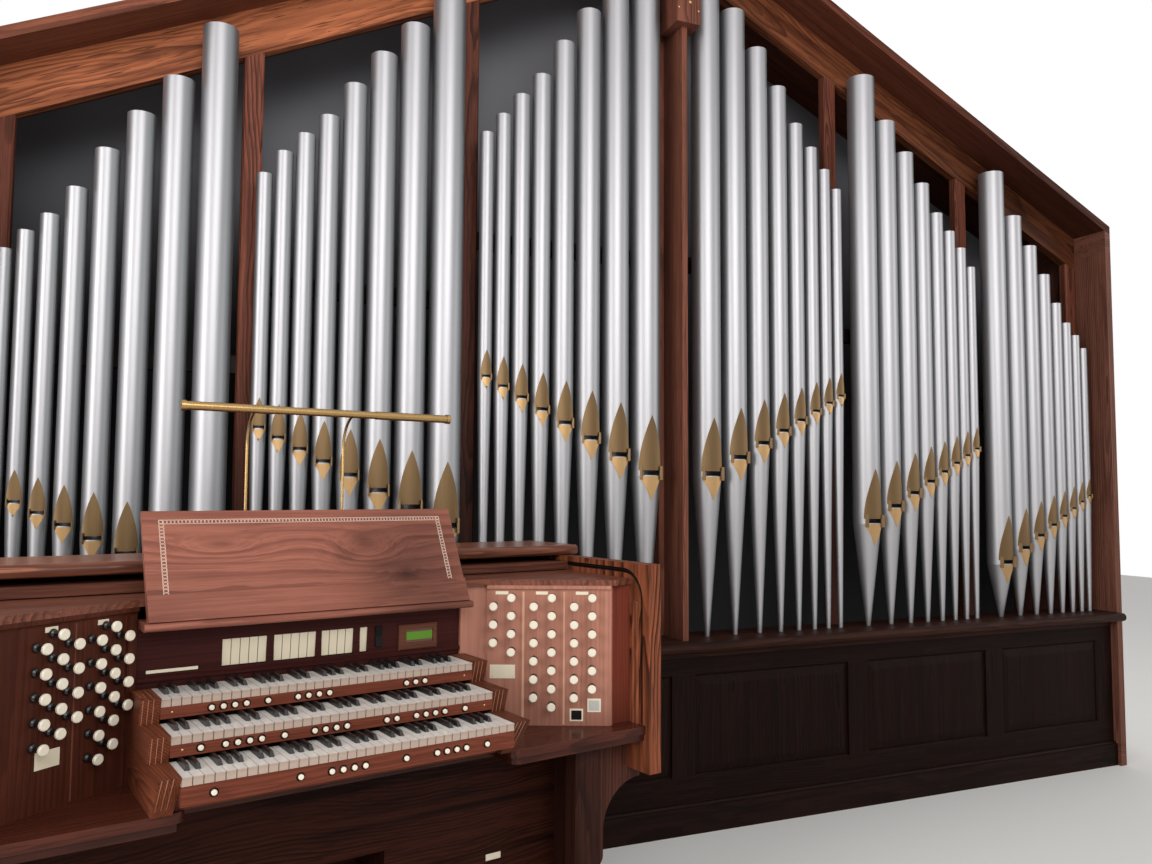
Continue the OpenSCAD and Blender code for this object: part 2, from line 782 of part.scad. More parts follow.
module pedestal() {
  foot_h = knee_foot * 1.5;
  foot_out = 6;
  color(oak) at_console() both_sides() {
    translate([leg_x - leg_w / 2, leg_front, 0]) linear_extrude(desk_under) post_plan(leg_w, leg_d, chamfer);
    translate([leg_x - leg_w / 2, leg_front - foot_out, 0]) linear_extrude(foot_h)
      post_plan(leg_w + 2 * foot_out, leg_d + foot_out, chamfer);
    translate([leg_x - side_t, leg_front, 0])
      cube([side_t, shell_back - panel_t - leg_front, desk_under]);
  }
}

// Brackets between the posts and the feet of the end panels, hollowed by a quarter circle
module brackets() {
  strip = leg_d / 2;
  w = shell_w / 2 - leg_x;
  r = w - strip;
  z = shell_foot - bracket_h;
  nose = bracket_h / 8;
  color(oak) at_console() both_sides() translate([leg_x, leg_front + leg_d, 0]) rotate([90, 0, 0])
    linear_extrude(bracket_t) {
      translate([0, shell_foot - eps]) square([shell_in - leg_x, desk_under - shell_foot]);
      translate([0, z + strip]) difference() {
        square([w, bracket_h - strip]);
        translate([w, bracket_h - strip - nose - r]) circle(r);
        translate([strip, -1]) square([w, bracket_h - strip - nose - r + 1]);
      }
      intersection() {
        translate([0, z + strip]) circle(strip);
        translate([0, z]) square(strip);
      }
    }
}

// Board behind the knees, and the open box that holds the shoes
module kneeboard() {
  wall = panel_t / 2;
  inner = leg_x - side_t;
  color(oak) at_console() difference() {
    union() {
      translate([-inner, knee_y, knee_foot]) cube([2 * inner, panel_t, desk_under - knee_foot]);
      translate([-shoe_half - wall, knee_y, knee_foot])
        cube([2 * (shoe_half + wall), panel_t + shoe_depth, shoe_top + wall - knee_foot]);
    }
    translate([-shoe_half, knee_y - 1, 0])
      cube([2 * shoe_half, panel_t + shoe_depth - wall + 1, shoe_top]);
  }
}

// Plan of the key desk, drawn in by d along its front edges
module key_desk_plan(d) {
  y = wing_front + d;
  translate([-shell_in, bay_front + d]) square([2 * shell_in, shell_back - panel_t - bay_front - d]);
  for (s = [-1, 1]) mirror([s < 0 ? 1 : 0, 0]) {
    x = wing_in[side(s)] + d;
    translate([x + wing_r, y + wing_r]) circle(wing_r);
    translate([x + wing_r, y]) square([shell_in - x - wing_r, bay_front + 2 * d - y]);
    translate([x, y + wing_r]) square([shell_in - x, bay_front + 2 * d - y - wing_r]);
  }
}

module key_desk() {
  top = desk_t * 0.55;
  color(oak) at_console() {
    translate([0, 0, desk_h - top]) linear_extrude(top) key_desk_plan(0);
    translate([0, 0, desk_under]) linear_extrude(desk_t - top) key_desk_plan(desk_t / 6);
  }
}

// Manuals
// Sharps stand between naturals n and n + 1; the octave starts at C
function has_sharp(n, count) = let (k = n % 7) k != 2 && k != 6 && n < count - 1;

// Plan of a natural: full width at its head, cut back beside the sharps
module natural_plan(n, y0) {
  w = key_w - key_gap;
  cut = (sharp_w + key_gap) / 2;
  left = n > 0 && has_sharp(n - 1, naturals) ? cut : 0;
  right = has_sharp(n, naturals) ? cut : 0;
  translate([-keys_half + n * key_w + key_gap / 2, 0])
    polygon([[0, y0], [w, y0], [w, head_l], [w - right, head_l], [w - right, key_l],
      [left, key_l], [left, head_l], [0, head_l]]);
}

module natural_keys() {
  color("ivory") at_console() for (m = [0:2], n = [0:naturals - 1])
    translate([0, manual_y(m), manual_z(m) - key_t]) {
      linear_extrude(key_t) natural_plan(n, plate_over);
      translate([0, 0, key_t - plate_t]) linear_extrude(plate_t) natural_plan(n, 0);
    }
}

// A sharp: sloped nose and bevelled sides
module sharp_key(n) {
  y0 = head_l + key_gap;
  top = key_t + sharp_h;
  nose = sharp_h * 0.8;
  side = sharp_h * 0.16;
  translate([-keys_half + (n + 1) * key_w, 0, 0]) intersection() {
    along_x(-sharp_w / 2, sharp_w / 2)
      polygon([[y0, 0], [key_l, 0], [key_l, top], [y0 + nose, top], [y0, key_t]]);
    translate([0, key_l, 0]) rotate([90, 0, 0]) linear_extrude(key_l)
      polygon([[-sharp_w / 2, 0], [sharp_w / 2, 0], [sharp_w / 2, key_t],
        [sharp_w / 2 - side, top], [side - sharp_w / 2, top], [-sharp_w / 2, key_t]]);
  }
}

module sharp_keys() {
  color("#1c1c1c") at_console() for (m = [0:2], n = [0:naturals - 2]) if (has_sharp(n, naturals))
    translate([0, manual_y(m), manual_z(m) - key_t]) sharp_key(n);
}

// Where a jamb's front crosses the line at x from the middle
function jamb_line(s, x) = min(in_y(s), jamb_y + (jamb_x - x) * tan(turn(s)));

// Stepped blocks at both ends of the manuals: each step slopes back towards its foot
module key_cheeks() {
  over = 6;
  x0 = keys_half + fit;
  function top(m) = manual_z(m) + cheek_up;
  color(oak) at_console() for (s = [-1, 1]) {
    strip = (knob_board_t * 2 + 2) / cos(turn(s));
    back = min(tablet_y, jamb_line(s, x0 + cheek_w)) - (s < 0 ? strip : 0) - fit;
    along_x(s > 0 ? x0 : -x0 - cheek_w, s > 0 ? x0 + cheek_w : -x0)
      polygon([[cheek_slope - over, desk_h], [-over, top(0)],
        [manual_y(1) - over + step_slope, top(0)], [manual_y(1) - over, top(1)],
        [manual_y(2) - over + step_slope, top(1)], [manual_y(2) - over, top(2)],
        [back, top(2)], [back, desk_h]]);
  }
}

// A slip in front and the bed that the keys lie on; the lowest stands on the key desk
module key_frames() {
  color(oak) at_console() for (m = [0:2]) {
    h = m == 0 ? front_slip_h : slip_h;
    foot = m == 0 ? manual_z(0) - key_t - fit - desk_h : bed_t;
    front = plate_over + eps;
    translate([0, manual_y(m), manual_z(m) - key_t - fit]) along_x(-keys_half, keys_half)
      polygon([[front, 0], [key_l, 0], [key_l, -foot], [block_y, -foot], [block_y, -bed_t],
        [front + slip_t, -bed_t], [front + slip_t, -h], [front, -h]]);
  }
}

// Pistons of the lowest, middle and top slip: [middle of the first, how many]
piston_rows = [[[-354, 1], [-160, 1], [-85, 4], [107, 1], [192, 4], [338, 1]],
  [[-357, 1], [-301, 4], [-162, 1], [-87, 4], [105, 2], [189, 4], [335, 1]],
  [[-306, 4], [-168, 1], [-91, 4], [214, 3]]];

module thumb_pistons() {
  r = piston_d / 2;
  edge = r * 0.25;
  color("ivory") at_console() for (m = [0:2], g = piston_rows[m], i = [0:g[1] - 1])
    translate([g[0] + i * piston_pitch, manual_y(m) + plate_over,
        manual_z(m) - key_t - (m == 0 ? front_slip_h : slip_h) / 2]) rotate([90, 0, 0])
      rotate_extrude() polygon([[0, 0], [r, 0], [r, piston_out - edge], [r - edge, piston_out],
        [0, piston_out]]);
}

// Stop jambs, tablets and screen
module at_jamb(s) {
  at_console() mirror([s < 0 ? 1 : 0, 0, 0]) translate([jamb_x, jamb_y, desk_h])
    rotate([0, 0, -turn(s)]) children();
}

jamb_h = deck_under - desk_h;

// Jamb with its knob board and cap, and the return that closes it to the end panel
module stop_jamb(s) {
  w = jamb_w(s);
  strip_t = knob_board_t * 2;
  strip_w = board_in * 4;
  color("peru") {
    at_jamb(s) {
      translate([-w, 0, 0]) cube([w, panel_t, jamb_h]);
      translate([-w + board_in, -knob_board_t, 0])
        cube([w - 2 * board_in, knob_board_t + eps, jamb_h - cap_h + eps]);
      along_x(-w + board_in, -board_in) difference() {
        translate([-deck_over + fit, jamb_h - cap_h]) square([deck_over, cap_h]);
        translate([-deck_over, jamb_h - cap_h]) circle(deck_over * 0.5);
      }
      if (s < 0) translate([-w + board_in * 2, -strip_t, 0]) cube([strip_w, strip_t, jamb_h - cap_h]);
    }
    at_console() mirror([s < 0 ? 1 : 0, 0, 0]) {
      if (s > 0) translate([recess_half, in_y(s), desk_h])
        cube([in_x(s) - recess_half + board_in, panel_t, jamb_h]);
      translate([jamb_x, return_y, desk_h]) cube([jamb_in, panel_t, jamb_h]);
    }
  }
}

module left_stop_jamb() { stop_jamb(-1); }
module right_stop_jamb() { stop_jamb(1); }

// Black stem with a domed collar, and a round face with a turned edge
module drawknob() {
  r = knob_d / 2;
  collar = knob_d * 0.42;
  neck = knob_out - knob_t;
  edge = knob_t * 0.25;
  rotate([90, 0, 0]) {
    color("#222222") rotate_extrude() polygon([[0, 0], [collar * 0.8, 0],
      [collar, collar * 0.35], [collar * 0.85, collar * 0.75], [stem_d / 2, collar],
      [stem_d / 2, neck], [0, neck]]);
    color("ivory") translate([0, 0, neck]) rotate_extrude() polygon([[0, 0], [r - edge, 0], [r, edge],
      [r, knob_t - edge], [r - edge, knob_t], [0, knob_t]]);
  }
}

module knob_columns(s, columns) {
  n = len(columns) - 1;
  pitch = (jamb_w(s) - column_out[side(s)] - column_in[side(s)]) / columns[n][0];
  at_jamb(s) for (c = columns, k = [0:c[1] - 1])
    translate([-column_out[side(s)] - c[0] * pitch, -knob_board_t,
      jamb_h - knob_down - (1 - c[2]) * knob_step - k * knob_pitch]) drawknob();
}

module drawknobs() {
  knob_columns(-1, left_columns);
  knob_columns(1, right_columns);
}

// Groups of tablets: [edge of the first, how many]
tablet_groups = [[-247, 5], [-111, 5], [22, 4], [135, 1]];
tablet_gap = 0.8;

// Board behind the tablets, with a window for each group and a bevelled rail over the keys
module tablet_board() {
  rail_z = manual_z(2) + sharp_h + 4;
  rail_h = tablet_up * 0.4;
  half = recess_half - fit;
  color(oak) at_console() {
    difference() {
      translate([-half, tablet_y, desk_h]) cube([2 * half, panel_t, shelf_z - desk_h]);
      for (g = tablet_groups) translate([g[0] - fit, tablet_y - 1, tablet_z - 2])
        cube([g[1] * tablet_pitch - tablet_gap + 2 * fit, panel_t + 2, tablet_h + 4]);
    }
    along_x(-half, half) polygon([[tablet_y, rail_z], [tablet_y - 8, rail_z],
      [tablet_y - 8, rail_z + rail_h / 2], [tablet_y, rail_z + rail_h]]);
  }
}

module tilting_tablets() {
  color("ivory") at_console() for (g = tablet_groups, i = [0:g[1] - 1])
    translate([g[0] + i * tablet_pitch, tablet_y + 2, tablet_z + tablet_h])
      rotate([180 + tablet_tilt, 0, 0]) translate([0, -tablet_t, 0])
        cube([tablet_pitch - tablet_gap, tablet_t, tablet_h]);
}

// Framed screen and a rocker switch beside it
module display() {
  drop = (screen[1] - tablet_h) * 1.2;
  color("#3a2418") at_console() {
    translate([screen_x, tablet_y - screen[2], tablet_z - drop]) difference() {
      bevelled(screen[0], screen[1], screen[2], screen[2] * 0.45, screen[2] / 3);
      translate([(screen[0] - window[0]) * 0.6, -1, (screen[1] - window[1]) * 0.57])
        cube([window[0], window[2] + 1, window[1]]);
    }
    translate([rocker_x, tablet_y, tablet_z + tablet_h - rocker[1]]) along_x(0, rocker[0])
      polygon([[0, 0], [-rocker[2], 0], [-rocker[2] * 0.4, rocker[1] / 2],
        [-rocker[2] * 0.8, rocker[1]], [0, rocker[1]]]);
  }
}

// Shelf with a round nose, the leaning desk on it and the ledge board along its foot
module music_desk() {
  r = shelf_t / 2;
  half = recess_half - fit;
  l = rest_rise / cos(rest_lean);
  color("saddlebrown") at_console() {
    along_x(-half, half) {
      translate([rest_front + r, shelf_z + r]) circle(r);
      translate([rest_front + r, shelf_z]) square([tablet_y + panel_t - rest_front - r, shelf_t]);
    }
    translate([0, rest_front + shelf_set, rest_h]) along_x(-rest_half, rest_half)
      rotate(-rest_lean) {
        translate([0, -rest_t * 0.5]) square([rest_t, l + rest_t * 0.5 - r / 2]);
        translate([r / 2, l - r / 2]) circle(r / 2);
        translate([r / 2, l - r]) square([rest_t - r / 2, r]);
        translate([-lip_proud, 0]) square([lip_proud + eps, lip_h]);
      }
  }
}

// A tube on two stems that rise behind the desk and bend forward
module desk_lamp() {
  r = lamp_d / 2;
  half = lamp_l / 2;
  cap = r * 1.2;
  ring = lamp_l * 0.19;
  foot = stem_rod * 1.4;
  bend_z = lamp_h - stem_bend;
  color("goldenrod") at_console() {
    translate([lamp_x, stem_y - stem_bend, lamp_h]) rotate([0, 90, 0]) rotate_extrude()
      polygon([[0, -half], [cap, -half], [cap, r - half], [r, r - half], [r, -ring], [r * 0.9, -ring],
        [r * 0.9, ring], [r, ring], [r, half - r], [cap, half - r], [cap, half], [0, half]]);
    for (s = [-1, 1]) translate([stem_x + s * stem_gap / 2, stem_y, 0]) {
      translate([0, 0, deck_h]) cylinder(d = stem_rod, h = bend_z - deck_h + eps);
      translate([0, 0, deck_h]) cylinder(r = foot, h = stem_rod / 2);
      translate([0, -stem_bend, bend_z]) rotate([90, 0, 90]) rotate_extrude(angle = 90)
        translate([stem_bend, 0]) circle(d = stem_rod, $fn = 24);
    }
  }
}

// Foot controls and pedals
module expression_shoes() {
  rod_d = 16;
  shoe = [104, 240, 24];
  shoe_pitch = 125;
  pivot_z = (shoe_top + knee_foot) * 0.45;
  pivot_y = knee_y + panel_t + shoe_depth * 0.35;
  tilt = 30;
  corner = shoe[0] * 0.3;
  color("#333333") at_console() {
    translate([-shoe_half, pivot_y, pivot_z]) rotate([0, 90, 0]) cylinder(d = rod_d, h = 2 * shoe_half);
    for (i = [-1:1]) translate([i * shoe_pitch, pivot_y, pivot_z]) rotate([90 - tilt, 0, 0])
      translate([0, 0, -shoe[2] / 2]) linear_extrude(shoe[2]) {
        for (s = [-1, 1]) translate([s * (shoe[0] / 2 - corner), shoe[1] / 2 - corner]) circle(corner);
        translate([-shoe[0] / 2 + corner, -shoe[1] / 2]) square([shoe[0] - 2 * corner, shoe[1]]);
        translate([-shoe[0] / 2, -shoe[1] / 2]) square([shoe[0], shoe[1] - corner]);
      }
  }
}

// Pedals spread from a point in front of the console
pedal_back = knee_y - fit;
pedal_end = pedals * 0.5 + 0.4;
function spread(x) = atan(x / spread_r);
// Distance from that point to where a bar of width w meets the kneeboard
function bar_end(x, w) = spread_r / cos(spread(x)) - w / 2 * abs(tan(spread(x)));

module along_pedal(x) {
  translate([0, pedal_back - spread_r, 0]) rotate([0, 0, -spread(x)]) children();
}

module pedal_bar(x, w, z, h) {
  heel = spread_r - pedal_l;
  along_pedal(x) translate([-w / 2, heel, z]) cube([w, bar_end(x, w) - heel, h]);
}

function pedal_x(n) = (n - (pedals - 1) / 2) * pedal_pitch;

module pedal_frame() {
  rail_h = pedal_h - pedal_t - fit;
  end_x = pedal_end * pedal_pitch;
  color(oak) at_console() {
    for (s = [-1, 1]) pedal_bar(s * end_x, pedal_cheek, 0, pedal_h + pedal_cheek);
    for (d = [pedal_l - pedal_cheek, 1.2 * pedal_cheek]) {
      half = end_x * (spread_r - d) / spread_r;
      translate([-half, pedal_back - d, 0]) cube([2 * half, pedal_cheek, rail_h]);
    }
  }
}

module pedal_naturals() {
  color("tan") at_console() for (n = [0:pedals - 1])
    pedal_bar(pedal_x(n), pedal_w, pedal_h - pedal_t, pedal_t);
}

// Sharp pedals: a low bar with a raised toe piece that is rounded at its front
module pedal_sharps() {
  low = pedal_t * 0.75;
  toe_y = spread_r - toe_l - pedal_cheek;
  r = toe_h * 0.4;
  color("#1c1c1c") at_console() for (n = [0:pedals - 2]) if (has_sharp(n, pedals)) {
    x = pedal_x(n + 0.5);
    pedal_bar(x, pedal_w, pedal_h - pedal_t, low);
    along_pedal(x) translate([0, toe_y, pedal_h - pedal_t]) along_x(-pedal_w / 2, pedal_w / 2) {
      square([toe_l, pedal_t + toe_h - r]);
      translate([r, 0]) square([toe_l - r, pedal_t + toe_h]);
      translate([r, pedal_t + toe_h - r]) circle(r);
    }
  }
}

case_plinth();
wainscot();
toe_board();
mullions();
centre_post();
raking_rails();
left_roof();
right_roof();
left_side();
right_side();
case_back();
stay_rails();
outer_left_pipes();
middle_left_pipes();
inner_left_pipes();
inner_right_pipes();
middle_right_pipes();
outer_right_pipes();
pipe_mouths();
end_panels();
console_back();
console_lid();
roll_top();
console_deck();
pedestal();
brackets();
kneeboard();
key_desk();
key_cheeks();
key_frames();
natural_keys();
sharp_keys();
thumb_pistons();
left_stop_jamb();
right_stop_jamb();
drawknobs();
tablet_board();
tilting_tablets();
display();
music_desk();
desk_lamp();
expression_shoes();
pedal_frame();
pedal_naturals();
pedal_sharps();
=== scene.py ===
# Pipe organ: materials, small parts, floor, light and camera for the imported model
import math
import bpy
import bmesh
import numpy as np
from mathutils import Matrix, Vector


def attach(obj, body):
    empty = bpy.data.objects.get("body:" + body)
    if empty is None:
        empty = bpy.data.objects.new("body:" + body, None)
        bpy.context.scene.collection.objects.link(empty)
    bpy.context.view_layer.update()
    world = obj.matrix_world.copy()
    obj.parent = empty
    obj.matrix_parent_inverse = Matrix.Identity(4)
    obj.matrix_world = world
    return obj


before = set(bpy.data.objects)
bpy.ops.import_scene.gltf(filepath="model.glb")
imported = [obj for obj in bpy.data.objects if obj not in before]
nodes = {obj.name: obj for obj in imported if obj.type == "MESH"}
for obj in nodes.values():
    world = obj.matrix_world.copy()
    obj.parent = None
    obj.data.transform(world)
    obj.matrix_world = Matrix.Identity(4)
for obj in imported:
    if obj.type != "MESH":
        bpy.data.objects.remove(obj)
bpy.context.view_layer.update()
scene = bpy.context.scene
print("frame loaded:", len(nodes), "nodes")

# Places in the console are in metres from the middle of the lowest keys' front, as in part.scad
consolePlace = {"origin": (-1.655, -1.41006, 0.0), "turn": math.radians(12)}
consoleMatrix = Matrix.Translation(consolePlace["origin"]) @ Matrix.Rotation(consolePlace["turn"], 4, "Z")
jambs = {
    "left": {"corner": (-0.870, 0.150, 0.790), "turn": math.radians(30), "side": -1},
    "right": {"corner": (0.870, 0.150, 0.790), "turn": math.radians(35), "side": 1},
}


def jambMatrix(jamb):
    # X runs from the jamb's outer end inwards, Y is out of its face, Z is up from the key desk
    side = jamb["side"]
    cosine, sine = math.cos(jamb["turn"]), math.sin(jamb["turn"])
    inward = Vector((-side * cosine, sine, 0))
    out = Vector((-side * sine, -cosine, 0))
    turned = Matrix((inward, out, Vector((0, 0, 1)))).transposed().to_4x4()
    return consoleMatrix @ Matrix.Translation(jamb["corner"]) @ turned


jambFaces = {name: jambMatrix(jamb) for name, jamb in jambs.items()}


# Small helpers for node trees
def wire(tree, value, socket):
    if isinstance(value, bpy.types.NodeSocket):
        tree.links.new(value, socket)
    elif value is not None:
        socket.default_value = value


def wireAll(tree, values, sockets):
    for label, value in values.items():
        wire(tree, value, sockets[label])


def calc(tree, operation, *values):
    n = tree.nodes.new("ShaderNodeMath")
    n.operation = operation
    for socket, value in zip(n.inputs, values):
        wire(tree, value, socket)
    return n.outputs[0]


def plus(tree, a, b):
    return calc(tree, "ADD", a, b)


def minus(tree, a, b):
    return calc(tree, "SUBTRACT", a, b)


def times(tree, a, b):
    return calc(tree, "MULTIPLY", a, b)


def timesPlus(tree, a, b, c):
    return calc(tree, "MULTIPLY_ADD", a, b, c)


def over(tree, a, b):
    return calc(tree, "DIVIDE", a, b)


def isAbove(tree, value, limit):
    return calc(tree, "GREATER_THAN", value, limit)


def vectorCalc(tree, operation, *values):
    n = tree.nodes.new("ShaderNodeVectorMath")
    n.operation = operation
    for socket, value in zip(n.inputs, values):
        wire(tree, value, socket)
    return n.outputs["Value"] if operation in ("LENGTH", "DOT_PRODUCT") else n.outputs["Vector"]


def combine(tree, x=0.0, y=0.0, z=0.0):
    n = tree.nodes.new("ShaderNodeCombineXYZ")
    for socket, value in zip(n.inputs, (x, y, z)):
        wire(tree, value, socket)
    return n.outputs[0]


def split(tree, vector):
    n = tree.nodes.new("ShaderNodeSeparateXYZ")
    wire(tree, vector, n.inputs[0])
    return n.outputs


def noise(tree, vector, scale=1.0, detail=2.0, roughness=0.5):
    n = tree.nodes.new("ShaderNodeTexNoise")
    wireAll(tree, {"Vector": vector, "Scale": scale, "Detail": detail, "Roughness": roughness}, n.inputs)
    return n.outputs


def remap(tree, value, low, high, toLow=0.0, toHigh=1.0):
    n = tree.nodes.new("ShaderNodeMapRange")
    n.interpolation_type = "SMOOTHSTEP"
    wireAll(tree, {"Value": value, "From Min": low, "From Max": high}, n.inputs)
    wireAll(tree, {"To Min": toLow, "To Max": toHigh}, n.inputs)
    return n.outputs[0]


def blendColors(tree, factor, a, b, mode="MIX"):
    n = tree.nodes.new("ShaderNodeMix")
    n.data_type = "RGBA"
    n.blend_type = mode
    wire(tree, factor, n.inputs[0])
    wire(tree, a, n.inputs[6])
    wire(tree, b, n.inputs[7])
    return n.outputs[2]


def blendVectors(tree, factor, a, b):
    n = tree.nodes.new("ShaderNodeMix")
    n.data_type = "VECTOR"
    wire(tree, factor, n.inputs[0])
    wire(tree, a, n.inputs[4])
    wire(tree, b, n.inputs[5])
    return n.outputs[1]


def shaded(tree, color, level):
    # A colour whose strength changes from place to place
    return blendColors(tree, 1.0, color, combine(tree, level, level, level), "MULTIPLY")


def hill(tree, axes, x0, z0, wide, high):
    # 1 at a point of X and Z, falling off smoothly all round
    dx = over(tree, minus(tree, axes[0], x0), wide)
    dz = over(tree, minus(tree, axes[2], z0), high)
    far = timesPlus(tree, dx, dx, times(tree, dz, dz))
    return calc(tree, "EXPONENT", times(tree, far, -1.0))


def seams(tree, x, pitch, halfLine, depth):
    # Dark lines across X at each pitch, where neighbours meet
    near = calc(tree, "PINGPONG", x, pitch / 2)
    return remap(tree, near, halfLine * 0.5, halfLine, 1.0 - depth, 1.0)


def tone(red, green, blue):
    # A colour as it is seen, 0 to 255, made linear
    def channel(v):
        v /= 255
        return v / 12.92 if v <= 0.04045 else ((v + 0.055) / 1.055) ** 2.4
    return (channel(red), channel(green), channel(blue), 1.0)


def darker(color, part):
    return tuple(part * c for c in color[:3]) + (1.0,)


def newGroup(name, sizes, results):
    # A shader group that takes a place and some sizes, and gives masks and values
    tree = bpy.data.node_groups.new(name, "ShaderNodeTree")
    sockets = tree.interface
    sockets.new_socket("Vector", in_out="INPUT", socket_type="NodeSocketVector")
    for label, value in sizes.items():
        sockets.new_socket(label, in_out="INPUT", socket_type="NodeSocketFloat").default_value = value
    for label in results:
        sockets.new_socket(label, in_out="OUTPUT", socket_type="NodeSocketFloat")
    return tree, tree.nodes.new("NodeGroupInput").outputs, tree.nodes.new("NodeGroupOutput").inputs


def useGroup(tree, group, values):
    n = tree.nodes.new("ShaderNodeGroup")
    n.node_tree = group
    wireAll(tree, values, n.inputs)
    return n.outputs


# Noises of the wood figure: how often along and across the grain in a metre, detail, roughness,
# and whether the fineness of the wood changes them
woodNoise = {
    "sway": (0.8, 1.5, 1.0, 0.5, False),
    "wave": (3.2, 9.0, 2.0, 0.5, False),
    "wobble": (6.0, 70.0, 2.0, 0.5, False),
    "streak": (1.3, 46.0, 3.0, 0.55, True),
    "pore": (9.0, 300.0, 2.0, 0.5, True),
    "fibre": (3.0, 95.0, 4.0, 0.6, True),
    "patch": (1.2, 5.0, 2.0, 0.5, False),
}
woodRings = {"wave": 0.16, "wobble": 0.6, "rise": (0.2, 0.9), "fall": (1.0, 0.92), "year": (0.9, 34.0, 3.7),
             "faint": (0.3, 0.62, 0.25, 1.0), "streak": (0.5, 0.7), "pore": (0.54, 0.66),
             "early": (0.75, 0.2, 0.25, 1.0), "fibreHeight": 0.3}


def makeWoodFigure():
    # Growth rings round a wandering heart along X, with streaks, pores and fibres stretched along it
    sizes = {"Spacing": 0.012, "Wander": 0.08, "Stretch": 1.0, "Pores": 0.6, "Fineness": 1.0}
    results = ("Rings", "Streak", "Pores", "Fibre", "Patch", "Height")
    tree, given, result = newGroup("woodFigure", sizes, results)
    x, y, z = split(tree, given["Vector"])
    along = times(tree, x, given["Stretch"])

    def figure(feature):
        length, width, detail, roughness, finer = woodNoise[feature]
        k = times(tree, given["Fineness"], width) if finer else width
        place = combine(tree, times(tree, along, length), times(tree, y, k), times(tree, z, k))
        return noise(tree, place, detail=detail, roughness=roughness)

    slow = split(tree, figure("sway")["Color"])
    wave = split(tree, figure("wave")["Color"])
    swayed = []
    for axis, far, near in ((y, slow[1], wave[0]), (z, slow[2], wave[1])):
        bend = timesPlus(tree, minus(tree, near, 0.5), woodRings["wave"], minus(tree, far, 0.5))
        swayed.append(timesPlus(tree, bend, given["Wander"], axis))
    radius = vectorCalc(tree, "LENGTH", combine(tree, 0.0, swayed[0], swayed[1]))
    wobble = figure("wobble")["Fac"]
    phase = timesPlus(tree, wobble, woodRings["wobble"], over(tree, radius, given["Spacing"]))
    turn = calc(tree, "FRACT", phase)
    rings = times(tree, remap(tree, turn, *woodRings["rise"]), remap(tree, turn, *woodRings["fall"]))
    length, width, start = woodRings["year"]
    place = combine(tree, times(tree, along, length), times(tree, radius, width), start)
    year = noise(tree, place, detail=1.0)["Fac"]
    rings = times(tree, rings, remap(tree, year, *woodRings["faint"]))
    streak = remap(tree, figure("streak")["Fac"], *woodRings["streak"])
    pore = remap(tree, figure("pore")["Fac"], *woodRings["pore"])
    early = remap(tree, turn, *woodRings["early"])
    pores = times(tree, times(tree, pore, early), given["Pores"])
    fibre = figure("fibre")["Fac"]
    height = minus(tree, times(tree, fibre, woodRings["fibreHeight"]), pores)
    wireAll(tree, {"Rings": rings, "Streak": streak, "Pores": pores, "Fibre": fibre,
                   "Patch": figure("patch")["Fac"], "Height": height}, result)
    return tree


def makeMottle():
    # Faint cloudy change of tone and gloss, with a scatter of fine scuffs
    tree, given, result = newGroup("mottle", {"Scale": 6.0, "Amount": 0.1}, ("Tone", "Gloss"))
    scaled = vectorCalc(tree, "SCALE", given["Vector"])
    wire(tree, given["Scale"], scaled.node.inputs["Scale"])
    cloud = noise(tree, scaled, detail=4.0)["Fac"]
    scuffs = noise(tree, scaled, scale=14.0, detail=3.0)["Fac"]
    wire(tree, plus(tree, times(tree, minus(tree, cloud, 0.5), given["Amount"]), 1.0), result["Tone"])
    wire(tree, times(tree, minus(tree, scuffs, 0.5), given["Amount"]), result["Gloss"])
    return tree


woodFigure, mottle = makeWoodFigure(), makeMottle()


def newMaterial(name):
    material = bpy.data.materials.new(name)
    material.use_nodes = True
    tree = material.node_tree
    shader = next(n for n in tree.nodes if n.type == "BSDF_PRINCIPLED")
    place = tree.nodes.new("ShaderNodeTexCoord").outputs["Object"]
    return material, tree, shader, place


def surfaceNormal(tree):
    return tree.nodes.new("ShaderNodeTexCoord").outputs["Normal"]


def inConsole(tree, place):
    # Object coordinates turned into the console's own axes
    n = tree.nodes.new("ShaderNodeMapping")
    n.vector_type = "TEXTURE"
    wireAll(tree, {"Vector": place, "Location": consolePlace["origin"],
                   "Rotation": (0, 0, consolePlace["turn"])}, n.inputs)
    return n.outputs[0]


def dress(name, material):
    finishes = nodes[name].data.materials
    finishes.clear()
    finishes.append(material)


def middleOf(name, console, slope, mirrored):
    # Middle of a node's box in the axes that its wood grain is drawn in
    mesh = nodes[name].data
    points = np.empty(len(mesh.vertices) * 3)
    mesh.vertices.foreach_get("co", points)
    points = points.reshape(-1, 3)
    if console:
        back = np.array(consoleMatrix.inverted())
        points = points @ back[:3, :3].T + back[:3, 3]
    if mirrored:
        points[:, 0] = np.abs(points[:, 0])
    turned = points @ np.array(Matrix.Rotation(slope, 3, "Y")).T
    return (turned.min(axis=0) + turned.max(axis=0)) / 2


# What all woods share: order of the axes, places in the log, fibres, pores and varnish
grainOrders = {"x": (0, 1, 2), "y": (1, 0, 2), "z": (2, 0, 1)}
woodLook = {"seedStep": 1.7, "boardSeed": 0.37, "boardSpread": (9.0, 0.12, 0.08), "mirrorStep": 2.3,
            "fibre": (0.35, 0.7), "fibreDepth": 0.3, "poreTone": 0.35, "poreDepth": 0.8, "glossSwing": 0.12,
            "coatRoughness": 0.18, "bump": {"Strength": 0.35, "Distance": 0.0006}}


